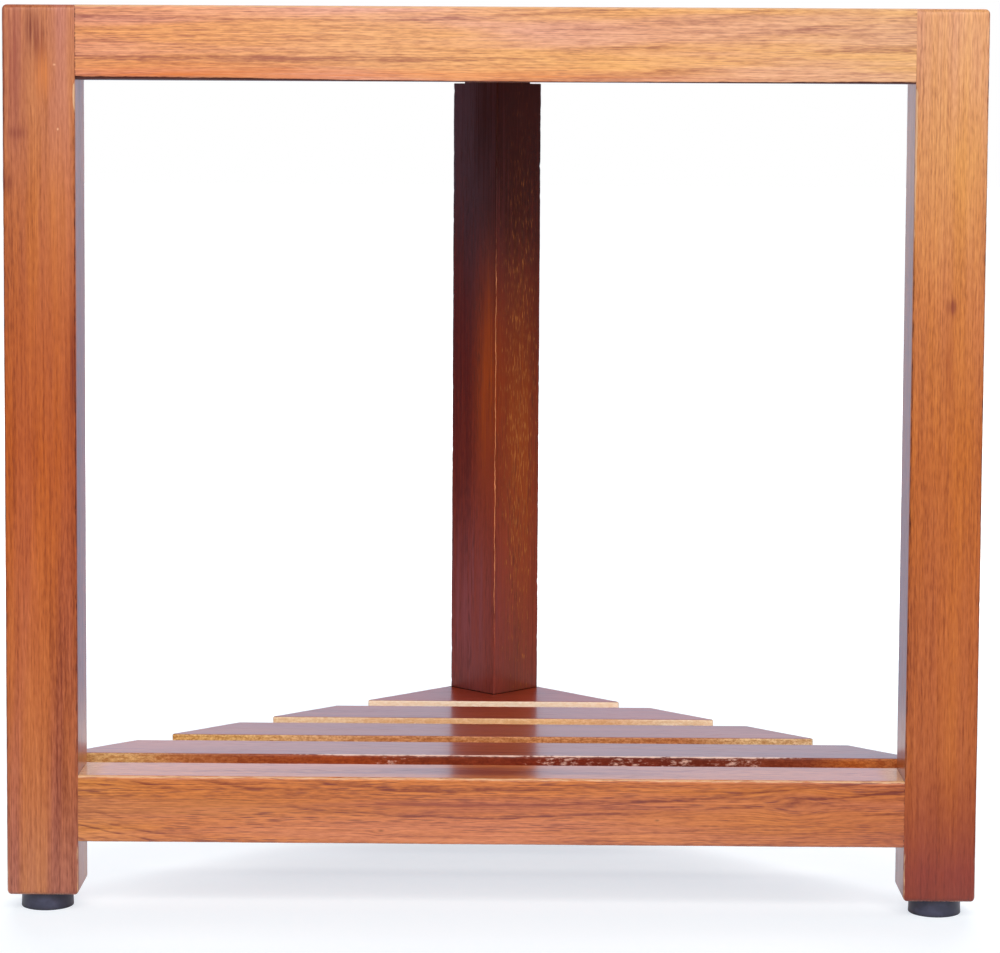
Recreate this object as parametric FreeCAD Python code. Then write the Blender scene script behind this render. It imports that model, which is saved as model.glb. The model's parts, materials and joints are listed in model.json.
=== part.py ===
import FreeCAD, Part
import math
import os

# A corner shower stool. Two square front legs and two front rails make a flat front frame.
# The rear leg is turned by an eighth of a turn, so that its two rear faces lie in the two
# walls of a room corner. Battens along the walls carry the slats of the seat and of the
# shelf, whose ends are cut in line with the walls. Each leg stands on a screw-in foot.
# Millimetres, +Z up, +X to the right as seen from the front, and the front faces -Y.
# While it is built the front plane is at Y 0. The origin is moved at the end to the middle
# of the footprint, on the floor.

Vector = FreeCAD.Vector

# Frame
overall_width = 460.0
leg_section = 34.0
leg_length = 422.0
rail_thickness = 32.0
seat_rail_height = 35.0
shelf_rail_height = 32.0
shelf_rail_lift = 26.0
arris_radius = 1.5

# Slats and the battens under them
plain_slats_per_level = 3
slat_width = 33.0
slat_thickness = 12.0
first_slat_gap = 21.0
slat_arris = 0.8
slat_corner_radius = 2.0
corner_slat_web = 20.7
seat_nose_radius = 4.0
batten_width = 20.0
batten_height = 20.0
lap_depth = 9.0
notch_clearance = 0.3

# Dowels
rail_dowel_radius = 4.0
rail_dowel_length = 40.0
rail_dowel_spacing = 16.0
batten_dowel_radius = 3.0
batten_dowel_in_batten = 13.0
dowel_chamfer = 0.8
dowel_end_room = 1.0
dowel_wall = 1.5
glue_clearance = 0.05

# Screws and plugs
slat_screw_radius = 1.75
slat_screw_head_radius = 3.5
slat_screw_length = 28.0
lap_screw_radius = 1.75
lap_screw_head_radius = 3.5
lap_screw_length = 22.0
leg_screw_radius = 2.25
leg_screw_head_radius = 4.25
leg_screw_length = 50.0
screw_point_length = 4.0
screw_end_room = 0.5
crossing_spacing = 10.0
plug_radius = 5.0
plug_depth = 8.0
socket_depth = 1.2
corner_screw_setback = 12.0

# Screw-in feet
foot_height = 8.5
foot_radius = 12.5
foot_waist = 0.3
foot_rim_chamfer = 0.8
foot_base_height = 1.8
foot_gap = 0.3
foot_floor = 2.0
stud_radius = 4.0
stud_chamfer = 1.0
stud_engagement = 12.0
lift_travel = 10.0
stud_flange_radius = 7.0
stud_flange_thickness = 1.6
stud_hole_room = 1.5
insert_radius = 6.0
insert_length = 14.0
insert_flange_radius = 8.5
insert_flange_thickness = 1.5
running_clearance = 0.05

# Shares, each of the size that its comment names
socket_share = 0.5      # side of a screw's square socket, of its head's width
dowel_place_share = 0.25    # from the batten's inner corner to its dowel, of the mitred end's width

# Numbers of flat sides that stand for a circle on turned pieces
fastener_sides = 8
stud_sides = 16
foot_sides = 32

# Working values
cut_overrun = 2.0
match_tolerance = 0.001
root_two = math.sqrt(2.0)
eighth_turn = 45.0

# Levels, up from the floor
leg_foot_z = foot_height
leg_top_z = leg_foot_z + leg_length
seat_rail_z = leg_top_z - seat_rail_height
shelf_rail_z = leg_foot_z + shelf_rail_lift
shelf_top_z = shelf_rail_z + shelf_rail_height
seat_slat_z = leg_top_z - slat_thickness
shelf_slat_z = shelf_top_z - slat_thickness
seat_batten_z = seat_slat_z - batten_height
shelf_batten_z = shelf_slat_z - batten_height

# Plan
half_width = overall_width / 2.0
leg_inner_x = half_width - leg_section
wall_reach = half_width + leg_section
rear_leg_y = wall_reach - leg_section / root_two
nose_cut = arris_radius * (root_two - 1.0)
overall_depth = wall_reach - nose_cut
rear_leg_front_y = rear_leg_y - leg_section / root_two
first_slat_y = rail_thickness + first_slat_gap
corner_slat_y = rear_leg_front_y - corner_slat_web
slat_pitch = (corner_slat_y - first_slat_y) / plain_slats_per_level
batten_end_width = batten_width * root_two
half_section = leg_section / 2.0
front_leg_centre = Vector(leg_inner_x + half_section, half_section, leg_foot_z)
rear_leg_centre = Vector(0.0, rear_leg_y, leg_foot_z)
batten_dowel_in_leg = leg_section - rail_thickness / 2.0 - rail_dowel_radius - dowel_wall
batten_dowel_length = batten_dowel_in_leg + batten_dowel_in_batten


def block(low, high):
    """Box between two opposite corners."""
    size = high - low
    return Part.makeBox(size.x, size.y, size.z, low)


def prism(outline, low_z, high_z):
    """Straight prism over an outline of (x, y) points, between two levels."""
    points = [Vector(x, y, low_z) for x, y in outline]
    face = Part.Face(Part.makePolygon(points + [points[0]]))
    return face.extrude(Vector(0.0, 0.0, high_z - low_z))


def faceted(profile, sides):
    """Turned piece with flat sides: (radius, z) points from its lower end to its upper end."""
    rings = []
    for radius, z in profile:
        turns = [2.0 * math.pi * side / sides for side in range(sides)]
        rings.append([Vector(radius * math.cos(turn), radius * math.sin(turn), z) for turn in turns])
    faces = [Part.Face(Part.makePolygon(ring + [ring[0]])) for ring in (rings[0], rings[-1])]
    for lower, upper in zip(rings[:-1], rings[1:]):
        for side in range(sides):
            after = (side + 1) % sides
            corners = [lower[side], lower[after], upper[after], upper[side], lower[side]]
            faces.append(Part.Face(Part.makePolygon(corners)))
    return Part.makeSolid(Part.makeShell(faces))


def aimed(shape, place, direction):
    """A shape made along +Z from the origin, moved to a place and pointed in a direction."""
    copy = shape.copy()
    turn = FreeCAD.Rotation(Vector(0.0, 0.0, 1.0), direction)
    copy.Placement = FreeCAD.Placement(place, turn)
    return copy


def mirrored(shape):
    """The same shape on the other side of the middle plane."""
    return shape.mirror(Vector(0.0, 0.0, 0.0), Vector(1.0, 0.0, 0.0))


def edges_on(shape, **places):
    """Edges whose ends all lie at the given coordinates, such as x=..., z=..."""
    chosen = []
    for edge in shape.Edges:
        gaps = []
        for vertex in edge.Vertexes:
            where = {"x": vertex.X, "y": vertex.Y, "z": vertex.Z}
            gaps += [abs(where[axis] - place) for axis, place in places.items()]
        if max(gaps) < match_tolerance:
            chosen.append(edge)
    return chosen


def upright_edges(shape):
    """Straight edges that run along Z."""
    chosen = []
    for edge in shape.Edges:
        ends = [vertex.Point for vertex in edge.Vertexes]
        if len(ends) == 2 and math.hypot(ends[0].x - ends[1].x, ends[0].y - ends[1].y) < match_tolerance:
            chosen.append(edge)
    return chosen


def drilled(shape, tools):
    """The shape less every tool in a list."""
    for tool in tools:
        shape = shape.cut(tool)
    return shape


def rounding_tool(low_z, high_z):
    """What rounds over the right leg's inner front arris between two levels, and no further."""
    centre_x = leg_inner_x + arris_radius
    waste = block(Vector(leg_inner_x - cut_overrun, -cut_overrun, low_z),
                  Vector(centre_x, arris_radius, high_z))
    bar = Part.makeCylinder(arris_radius, high_z - low_z, Vector(centre_x, arris_radius, low_z))
    return waste.cut(bar)


def wall_x(y, inward=0.0):
    """X of the right wall plane at a Y, or of a line that far inside it."""
    return wall_reach - y - inward * root_two


def rear_point(across, along, z):
    """A point given in the rear leg's own turned frame: across faces the right wall, along the left."""
    return Vector((across - along) / root_two, rear_leg_y + (across + along) / root_two, z)


# Directions
along_x = Vector(1.0, 0.0, 0.0)
along_y = Vector(0.0, 1.0, 0.0)
upward = Vector(0.0, 0.0, 1.0)
into_right_wall_face = Vector(-1.0, -1.0, 0.0)
out_of_left_wall_face = Vector(1.0, -1.0, 0.0)


# Fasteners, each made along +Z

def screw(radius, head_radius, length):
    """Countersunk screw with a square socket, its head's flat face at Z 0."""
    tip_radius = radius / 2.0
    body = faceted([(head_radius, 0.0), (radius, head_radius - radius),
                    (radius, length - screw_point_length), (tip_radius, length)], fastener_sides)
    half = head_radius * socket_share / 2.0
    socket = block(Vector(-half, -half, -cut_overrun), Vector(half, half, socket_depth))
    return body.cut(socket)


def screw_hole(radius, head_radius, length, entry):
    """Hole for that screw, open above its head by the length of entry."""
    wide = head_radius + glue_clearance
    narrow = radius + glue_clearance
    return faceted([(wide, -entry), (wide, 0.0), (narrow, wide - narrow),
                    (narrow, length + screw_end_room)], fastener_sides)


def dowel(radius, length):
    """Round dowel with chamfered ends, its middle at the origin."""
    half = length / 2.0
    end_radius = radius - dowel_chamfer
    return faceted([(end_radius, -half), (radius, dowel_chamfer - half), (radius, half - dowel_chamfer),
                    (end_radius, half)], fastener_sides)


def dowel_hole(radius, length):
    """Hole for that dowel through both pieces, with room at each end."""
    half = length / 2.0 + dowel_end_room
    wide = radius + glue_clearance
    return faceted([(wide, -half), (wide, half)], fastener_sides)


def fastened(solid, hole, places, direction):
    """Copies of a fastener and of its hole at each place on the right side."""
    solids = [aimed(solid, place, direction) for place in places]
    holes = [aimed(hole, place, direction) for place in places]
    return {"solids": solids, "holes": holes}


def rail_dowels(rail_z, rail_height):
    """Two dowels, one above the other, across the joint of a front rail and the right leg."""
    middle = rail_z + rail_height / 2.0
    heights = [middle - rail_dowel_spacing / 2.0, middle + rail_dowel_spacing / 2.0]
    places = [Vector(leg_inner_x, rail_thickness / 2.0, z) for z in heights]
    return fastened(dowel(rail_dowel_radius, rail_dowel_length),
                    dowel_hole(rail_dowel_radius, rail_dowel_length), places, along_x)


def batten_dowel(batten_z):
    """One dowel from the right front leg's rear face into the batten's mitred end."""
    x = half_width - batten_end_width * (1.0 - dowel_place_share)
    y = leg_section + (batten_dowel_in_batten - batten_dowel_in_leg) / 2.0
    place = Vector(x, y, batten_z + batten_height / 2.0)
    return fastened(dowel(batten_dowel_radius, batten_dowel_length),
                    dowel_hole(batten_dowel_radius, batten_dowel_length), [place], along_y)


def slat_screws(batten_z):
    """One screw up through the right batten into the end of each slat."""
    rows = [first_slat_y + number * slat_pitch + slat_width / 2.0
            for number in range(plain_slats_per_level)]
    rows.append(corner_slat_y + corner_screw_setback)
    places = [Vector(wall_x(y, batten_width / 2.0), y, batten_z) for y in rows]
    return fastened(screw(slat_screw_radius, slat_screw_head_radius, slat_screw_length),
                    screw_hole(slat_screw_radius, slat_screw_head_radius, slat_screw_length,
                               cut_overrun), places, upward)


def lap_screw(z):
    """The screw that holds the right seat batten's tongue in the rear leg's rebate."""
    place = rear_point(half_section, -lap_depth / 2.0, z)
    return fastened(screw(lap_screw_radius, lap_screw_head_radius, lap_screw_length),
                    screw_hole(lap_screw_radius, lap_screw_head_radius, lap_screw_length,
                               cut_overrun), [place], into_right_wall_face)


def leg_screw(z):
    """The long screw from the rear leg's left wall face into the right shelf batten's end."""
    place = rear_point(half_section - batten_width / 2.0, half_section - plug_depth, z)
    return fastened(screw(leg_screw_radius, leg_screw_head_radius, leg_screw_length),
                    screw_hole(leg_screw_radius, leg_screw_head_radius, leg_screw_length,
                               plug_depth), [place], out_of_left_wall_face)


def leg_plug(z):
    """The wooden plug over that screw's head, flush with the leg's face."""
    place = rear_point(half_section - batten_width / 2.0, half_section - plug_depth, z)
    outward = out_of_left_wall_face * -1.0
    hole_radius = plug_radius + glue_clearance
    return fastened(faceted([(plug_radius, 0.0), (plug_radius, plug_depth)], stud_sides),
                    faceted([(hole_radius, 0.0), (hole_radius, plug_depth + cut_overrun)], stud_sides),
                    [place], outward)


seat_rail_dowels = rail_dowels(seat_rail_z, seat_rail_height)
shelf_rail_dowels = rail_dowels(shelf_rail_z, shelf_rail_height)
seat_batten_dowel = batten_dowel(seat_batten_z)
shelf_batten_dowel = batten_dowel(shelf_batten_z)
seat_slat_screws = slat_screws(seat_batten_z)
shelf_slat_screws = slat_screws(shelf_batten_z)

# The screws from the two sides cross inside the rear leg, so they stand at two heights.
seat_batten_middle_z = seat_batten_z + batten_height / 2.0
shelf_batten_middle_z = shelf_batten_z + batten_height / 2.0
upper = crossing_spacing / 2.0
lap_screw_right = lap_screw(seat_batten_middle_z + upper)
lap_screw_left = lap_screw(seat_batten_middle_z - upper)
leg_screw_right = leg_screw(shelf_batten_middle_z + upper)
leg_screw_left = leg_screw(shelf_batten_middle_z - upper)
leg_plug_right = leg_plug(shelf_batten_middle_z + upper)
leg_plug_left = leg_plug(shelf_batten_middle_z - upper)


# Screw-in feet, each made about Z with the leg's end at Z 0

stud_reach = stud_engagement + lift_travel


def foot_pad():
    """Pad with chamfered rims, moulded round the stud's flange. Its flats clear the round stud."""
    floor_z = -foot_height
    roof_z = -foot_gap
    chamfer = foot_rim_chamfer
    waist = foot_radius - foot_waist
    waist_z = floor_z + foot_base_height
    to_corner = 1.0 / math.cos(math.pi / foot_sides)
    bore = (stud_radius + running_clearance) * to_corner
    pocket = (stud_flange_radius + running_clearance) * to_corner
    pocket_floor_z = floor_z + foot_floor
    pocket_roof_z = pocket_floor_z + stud_flange_thickness + running_clearance
    outside = faceted([(foot_radius - chamfer, floor_z), (foot_radius, floor_z + chamfer),
                       (foot_radius, waist_z), (waist, waist_z + foot_waist),
                       (waist, roof_z - chamfer), (waist - chamfer, roof_z)], foot_sides)
    inside = faceted([(pocket, pocket_floor_z), (pocket, pocket_roof_z), (bore, pocket_roof_z),
                      (bore, cut_overrun)], foot_sides)
    return outside.cut(inside)


def foot_stud():
    """Stud with a flange at its lower end and a chamfered upper end."""
    low_z = foot_floor - foot_height
    flange_z = low_z + stud_flange_thickness
    return faceted([(stud_flange_radius, low_z), (stud_flange_radius, flange_z),
                    (stud_radius, flange_z), (stud_radius, stud_reach - stud_chamfer),
                    (stud_radius - stud_chamfer, stud_reach)], stud_sides)


def foot_insert():
    """Flanged insert for the stud, its flange flush with the leg's end."""
    bore = stud_radius + running_clearance
    barrel = faceted([(insert_flange_radius, 0.0), (insert_flange_radius, insert_flange_thickness),
                      (insert_radius, insert_flange_thickness), (insert_radius, insert_length)],
                     stud_sides)
    return barrel.cut(faceted([(bore, -cut_overrun), (bore, insert_length + cut_overrun)], stud_sides))


def foot_hole():
    """Stepped hole in the leg's end for the insert's flange, its barrel and the stud's end."""
    flange = insert_flange_radius + glue_clearance
    barrel = insert_radius + glue_clearance
    shaft = stud_radius + stud_chamfer
    flange_z = insert_flange_thickness + glue_clearance
    return faceted([(flange, -cut_overrun), (flange, flange_z), (barrel, flange_z),
                    (barrel, insert_length), (shaft, insert_length),
                    (shaft, stud_reach + stud_hole_room)], stud_sides)


def at_leg(shape, centre):
    """A foot's piece under the leg whose end has this centre."""
    return aimed(shape, centre, upward)


# Legs and rails

def front_right_leg():
    """Square leg with every outer arris rounded, and its inner front arris only between the rails."""
    leg = block(Vector(leg_inner_x, 0.0, leg_foot_z), Vector(half_width, leg_section, leg_top_z))
    soft = edges_on(leg, x=half_width, y=0.0) + edges_on(leg, x=half_width, y=leg_section)
    soft += edges_on(leg, x=leg_inner_x, y=leg_section)
    soft += edges_on(leg, z=leg_foot_z)
    soft += edges_on(leg, z=leg_top_z, y=0.0) + edges_on(leg, z=leg_top_z, x=half_width)
    soft += edges_on(leg, z=leg_top_z, y=leg_section)
    leg = leg.makeFillet(arris_radius, soft)
    roundings = [rounding_tool(leg_foot_z - cut_overrun, shelf_rail_z),
                 rounding_tool(shelf_top_z, seat_rail_z)]
    holes = seat_rail_dowels["holes"] + shelf_rail_dowels["holes"]
    holes += seat_batten_dowel["holes"] + shelf_batten_dowel["holes"]
    holes.append(at_leg(foot_hole(), front_leg_centre))
    return drilled(leg, roundings + holes)


def rear_leg():
    """Square leg turned to face the corner, ending under the seat, with a rebate for each tongue."""
    leg = block(Vector(-half_section, -half_section, leg_foot_z),
                Vector(half_section, half_section, seat_slat_z))
    leg = leg.makeFillet(arris_radius, upright_edges(leg) + edges_on(leg, z=leg_foot_z))
    step = half_section - lap_depth
    far = half_section + cut_overrun
    high_z = seat_slat_z + cut_overrun
    right_rebate = block(Vector(step, -far, seat_rail_z), Vector(far, far, high_z))
    left_rebate = block(Vector(-far, step, seat_rail_z), Vector(far, far, high_z))
    leg = drilled(leg, [right_rebate, left_rebate])
    leg.rotate(Vector(0.0, 0.0, 0.0), upward, eighth_turn)
    leg.translate(Vector(0.0, rear_leg_y, 0.0))
    holes = lap_screw_right["holes"] + leg_screw_right["holes"] + leg_plug_right["holes"]
    left = lap_screw_left["holes"] + leg_screw_left["holes"] + leg_plug_left["holes"]
    holes += [mirrored(hole) for hole in left]
    holes.append(at_leg(foot_hole(), rear_leg_centre))
    return drilled(leg, holes)


def front_rail(low_z, high_z, dowels):
    """Rail between the front legs, flush with their front, with its four long arrises rounded."""
    rail = block(Vector(-leg_inner_x, 0.0, low_z), Vector(leg_inner_x, rail_thickness, high_z))
    soft = []
    for y in (0.0, rail_thickness):
        for z in (low_z, high_z):
            soft += edges_on(rail, y=y, z=z)
    rail = rail.makeFillet(arris_radius, soft)
    return drilled(rail, dowels["holes"] + [mirrored(hole) for hole in dowels["holes"]])


# Battens and slats

def right_batten(low_z, high_z, tongue, holes):
    """Batten along the right wall: mitred to the front leg, square or tongued to the rear leg."""
    leg_corner_y = wall_reach - leg_section / root_two
    shoulder_y = leg_corner_y - batten_width / root_two
    outline = [(wall_x(leg_section, batten_width), leg_section), (wall_x(leg_section), leg_section)]
    if tongue:
        tongue_y = leg_corner_y - lap_depth / root_two
        outline += [(wall_x(overall_depth), overall_depth), (0.0, overall_depth),
                    (0.0, wall_reach - lap_depth * root_two), (wall_x(tongue_y, lap_depth), tongue_y)]
    else:
        outline += [(wall_x(leg_corner_y), leg_corner_y)]
    outline += [(wall_x(shoulder_y, batten_width), shoulder_y)]
    batten = prism(outline, low_z, high_z)
    return drilled(batten, holes)


def softened_plate(outline, corner_edges, low_z):
    """Slat of this outline with its corners rounded in plan and its upper arrises eased."""
    plate = prism(outline, low_z, low_z + slat_thickness)
    for radius, places in corner_edges:
        edges = []
        for x, y in places:
            edges += edges_on(plate, x=x, y=y)
        plate = plate.makeFillet(radius, edges)
    return plate.makeChamfer(slat_arris, edges_on(plate, z=low_z + slat_thickness))


def plain_slat(number, low_z, holes):
    """Slat parallel to the front, its two ends cut in line with the walls."""
    front_y = first_slat_y + number * slat_pitch
    back_y = front_y + slat_width
    right = [(wall_x(front_y), front_y), (wall_x(back_y), back_y)]
    left = [(-x, y) for x, y in reversed(right)]
    slat = softened_plate(right + left, [(slat_corner_radius, right + left)], low_z)
    return drilled(slat, holes)


def shelf_corner_slat(low_z, holes):
    """Last slat of the shelf, notched round the front half of the rear leg."""
    room = notch_clearance
    side = (wall_x(rear_leg_y) + room / root_two, rear_leg_y - room / root_two)
    notch = (0.0, rear_leg_front_y - room * root_two)
    right = (wall_x(corner_slat_y), corner_slat_y)
    outline = [right, side, notch, (-side[0], side[1]), (-right[0], right[1])]
    slat = softened_plate(outline, [(slat_corner_radius, [right, (-right[0], right[1])])], low_z)
    return drilled(slat, holes)


def seat_corner_slat(low_z, holes):
    """Last slat of the seat, a triangle that covers the rear leg and both tongues."""
    right = (wall_x(corner_slat_y), corner_slat_y)
    left = (-right[0], right[1])
    nose = (0.0, wall_reach)
    slat = softened_plate([right, nose, left],
                          [(slat_corner_radius, [right, left]), (seat_nose_radius, [nose])], low_z)
    return drilled(slat, holes)


# Writing the pieces

def both_sides(solids):
    return solids + [mirrored(solid) for solid in solids]


def save(node, solids):
    """Write one node, moved so that the origin is under the middle of the whole stool."""
    if isinstance(solids, list):
        shape = Part.makeCompound(solids) if len(solids) > 1 else solids[0].copy()
    else:
        shape = solids.copy()
    shape.translate(Vector(0.0, -overall_depth / 2.0, 0.0))
    shape.exportStep(os.path.join("parts", node + ".step"))
    print(node, "solids", len(shape.Solids), "volume", round(shape.Volume), "valid", shape.isValid())


def save_frame():
    leg = front_right_leg()
    save("front_right_leg", leg)
    save("front_left_leg", mirrored(leg))
    save("back_leg", rear_leg())
    save("seat_front_rail", front_rail(seat_rail_z, leg_top_z, seat_rail_dowels))
    save("shelf_front_rail", front_rail(shelf_rail_z, shelf_top_z, shelf_rail_dowels))


def save_battens():
    shared = {"seat": seat_batten_dowel["holes"] + seat_slat_screws["holes"],
              "shelf": shelf_batten_dowel["holes"] + shelf_slat_screws["holes"]}
    own = {"seat": (lap_screw_right["holes"], lap_screw_left["holes"]),
           "shelf": (leg_screw_right["holes"], leg_screw_left["holes"])}
    low = {"seat": seat_batten_z, "shelf": shelf_batten_z}
    for level in ("seat", "shelf"):
        high_z = low[level] + batten_height
        tongue = level == "seat"
        for side, holes in zip(("right", "left"), own[level]):
            batten = right_batten(low[level], high_z, tongue, shared[level] + holes)
            if side == "left":
                batten = mirrored(batten)
            save(level + "_" + side + "_batten", batten)


def save_slats():
    levels = [("seat", seat_slat_z, seat_slat_screws, seat_corner_slat),
              ("shelf", shelf_slat_z, shelf_slat_screws, shelf_corner_slat)]
    for level, low_z, screws, corner_slat in levels:
        holes = both_sides(screws["holes"])
        for number in range(plain_slats_per_level):
            save(level + "_slat_" + str(number + 1), plain_slat(number, low_z, holes))
        save(level + "_corner_slat", corner_slat(low_z, holes))


def save_fasteners():
    save("seat_rail_dowels", both_sides(seat_rail_dowels["solids"]))
    save("shelf_rail_dowels", both_sides(shelf_rail_dowels["solids"]))
    save("batten_dowels", both_sides(seat_batten_dowel["solids"] + shelf_batten_dowel["solids"]))
    save("seat_slat_screws", both_sides(seat_slat_screws["solids"]))
    save("shelf_slat_screws", both_sides(shelf_slat_screws["solids"]))
    save("seat_lap_screws", lap_screw_right["solids"] + [mirrored(lap_screw_left["solids"][0])])
    save("shelf_batten_screws", leg_screw_right["solids"] + [mirrored(leg_screw_left["solids"][0])])
    save("back_leg_plugs", leg_plug_right["solids"] + [mirrored(leg_plug_left["solids"][0])])


def save_feet():
    left_centre = Vector(-front_leg_centre.x, front_leg_centre.y, front_leg_centre.z)
    legs = [("front_left", left_centre), ("front_right", front_leg_centre), ("back", rear_leg_centre)]
    for leg_name, centre in legs:
        save(leg_name + "_foot_insert", at_leg(foot_insert(), centre))
        save(leg_name + "_foot_stud", at_leg(foot_stud(), centre))
        save(leg_name + "_foot_pad", at_leg(foot_pad(), centre))


os.makedirs("parts", exist_ok=True)
save_frame()
save_battens()
save_slats()
save_fasteners()
save_feet()
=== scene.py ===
import bpy
import json
import math
import numpy as np
from mathutils import Matrix, Vector


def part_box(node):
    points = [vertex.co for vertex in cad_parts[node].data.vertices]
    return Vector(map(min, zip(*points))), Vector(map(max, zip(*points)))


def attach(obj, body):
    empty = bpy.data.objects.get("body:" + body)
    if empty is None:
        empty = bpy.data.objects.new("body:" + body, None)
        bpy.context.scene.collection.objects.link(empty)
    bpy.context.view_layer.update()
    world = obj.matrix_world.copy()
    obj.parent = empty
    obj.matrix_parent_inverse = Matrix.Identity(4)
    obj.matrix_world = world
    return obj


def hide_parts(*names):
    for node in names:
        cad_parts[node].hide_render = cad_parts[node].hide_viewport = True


# A corner shower stool in oiled teak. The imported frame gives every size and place. The wooden
# members are made again as surfaces with softened, slightly uneven arrises, and get their grain.

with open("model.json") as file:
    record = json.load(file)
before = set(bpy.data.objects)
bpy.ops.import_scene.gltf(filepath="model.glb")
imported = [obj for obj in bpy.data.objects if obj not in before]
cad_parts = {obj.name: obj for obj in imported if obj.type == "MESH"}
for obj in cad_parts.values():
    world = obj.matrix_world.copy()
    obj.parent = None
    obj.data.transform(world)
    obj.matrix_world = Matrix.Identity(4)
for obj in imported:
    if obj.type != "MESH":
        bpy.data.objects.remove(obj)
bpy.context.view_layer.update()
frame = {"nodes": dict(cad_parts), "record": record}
print("frame loaded:", len(frame["nodes"]), "nodes")

bodyOf = {node: body for body, nodes in frame["record"]["behaviour"]["bodies"].items() for node in nodes}
mm = 0.001
rootTwo = math.sqrt(2)
alongX, alongY, upright = (1, 0, 0), (0, 1, 0), (0, 0, 1)


# Sizes that several pieces share, read from the frame

rightLegLow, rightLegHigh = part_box("front_right_leg")
backLegLow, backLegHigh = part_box("back_leg")
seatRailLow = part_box("seat_front_rail")[0]
shelfRailLow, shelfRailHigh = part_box("shelf_front_rail")
legSection = rightLegHigh.x - rightLegLow.x
wallReach = rightLegHigh.x + rightLegHigh.y  # the wall planes are |x| = wallReach - y
backLegY = (backLegLow.y + backLegHigh.y) / 2


def wallX(y, inward=0.0):
    return wallReach - y - inward * rootTwo


# Camera, lamps, floor and surroundings

def addObject(name, data):
    thing = bpy.data.objects.new(name, data)
    bpy.context.scene.collection.objects.link(thing)
    return thing


cameraLook = {
    "x": 9.2 * mm, "height": 390.4 * mm,
    "beforeFront": 1509.4 * mm,  # in front of the stool's front plane
    "turn": 0.616, "tilt": 4.578, "roll": 0.307,  # degrees to the left, down and clockwise
    "lens": 116.26, "shiftX": 0.0217, "shiftY": -0.125,
}


def placeCamera(look):
    data = bpy.data.cameras.new("camera")
    data.sensor_width, data.lens = 36, look["lens"]
    data.shift_x, data.shift_y = look["shiftX"], look["shiftY"]
    data.clip_start, data.clip_end = 0.05, 50
    turn = Matrix.Rotation(math.radians(look["turn"]), 4, "Z")
    tilt = Matrix.Rotation(math.radians(90 - look["tilt"]), 4, "X")
    roll = Matrix.Rotation(math.radians(look["roll"]), 4, "Z")
    place = Matrix.Translation((look["x"], rightLegLow.y - look["beforeFront"], look["height"]))
    camera = addObject("camera", data)
    camera.matrix_world = place @ turn @ tilt @ roll
    bpy.context.scene.camera = camera


lampAim = Vector((0, 0, 0.2))
lampLooks = {
    "frontLamp": {"place": (0.1, -3.0, 2.3), "size": (2.6, 1.8), "power": 102, "colour": (1.0, 0.985, 0.965)},
    "topLamp": {"place": (0.1, 1.1, 2.5), "size": (1.8, 1.2), "power": 24, "colour": (0.98, 0.985, 1.0)},
    "rightLamp": {"place": (2.4, -0.7, 1.4), "size": (1.2, 1.6), "power": 9, "colour": (0.97, 0.98, 1.0)},
    "rearLamp": {"place": (0, 2.6, 1.8), "size": (3.0, 1.2), "power": 62, "colour": (0.98, 0.985, 1.0)},
}


def placeLamp(name, look):
    data = bpy.data.lights.new(name, "AREA")
    data.shape = "RECTANGLE"
    data.size, data.size_y = look["size"]
    data.energy, data.color = look["power"], look["colour"]
    lamp = addObject(name, data)
    lamp.visible_glossy = False  # gloss shows the surroundings, not the lamps
    lamp.location = look["place"]
    lamp.rotation_euler = (lampAim - lamp.location).to_track_quat("-Z", "Y").to_euler()


drawing = {}  # the node tree that is being filled


def startTree(tree):
    tree.nodes.clear()
    drawing["tree"] = tree


def newNode(kind, inputs=None, **settings):
    # one node; an input is a socket to link or a plain value
    tree = drawing["tree"]
    node = tree.nodes.new(kind if kind.startswith("NodeGroup") else "ShaderNode" + kind)
    for key, value in settings.items():
        setattr(node, key, value)
    for key, value in (inputs or {}).items():
        if isinstance(value, bpy.types.NodeSocket):
            tree.links.new(value, node.inputs[key])
        else:
            node.inputs[key].default_value = value
    return node


def addNode(kind, inputs=None, **settings):
    return newNode(kind, inputs, **settings).outputs


def shade(red, green, blue):
    # a colour written as 0 to 255 on screen, as the shader wants it
    def linear(value):
        value = value / 255
        return value / 12.92 if value <= 0.04045 else ((value + 0.055) / 1.055) ** 2.4
    return (linear(red), linear(green), linear(blue), 1)


def calc(operation, first, second=0.0, third=0.0, clamp=False):
    return addNode("Math", {0: first, 1: second, 2: third}, operation=operation, use_clamp=clamp)[0]


def minus(first, second):
    return calc("SUBTRACT", first, second)


def times(first, second):
    return calc("MULTIPLY", first, second)


def timesPlus(first, second, third, clamp=False):
    return calc("MULTIPLY_ADD", first, second, third, clamp)


def vectorCalc(operation, first, second):
    # a vector, or the number that DOT_PRODUCT gives
    inputs = {0: first, "Scale" if operation == "SCALE" else 1: second}
    return addNode("VectorMath", inputs, operation=operation)["Value" if operation == "DOT_PRODUCT" else 0]


def tint(share, below, above, mode="MIX"):
    # below where share is 0, above where it is 1
    return addNode("Mix", {0: share, 6: below, 7: above}, data_type="RGBA", blend_type=mode)[2]


def ramp(value, low, high, bottom=0.0, top=1.0, kind="SMOOTHSTEP"):
    # bottom at low, top at high, a smooth step between
    inputs = {"Value": value, "From Min": low, "From Max": high, "To Min": bottom, "To Max": top}
    return addNode("MapRange", inputs, interpolation_type=kind)[0]


def blend(share, below, above):
    # one shader below another
    return addNode("MixShader", {0: share, 1: below[0], 2: above[0]})


def newPaint(name):
    paint = bpy.data.materials.new(name)
    paint.use_nodes = True
    startTree(paint.node_tree)
    return paint


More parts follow.
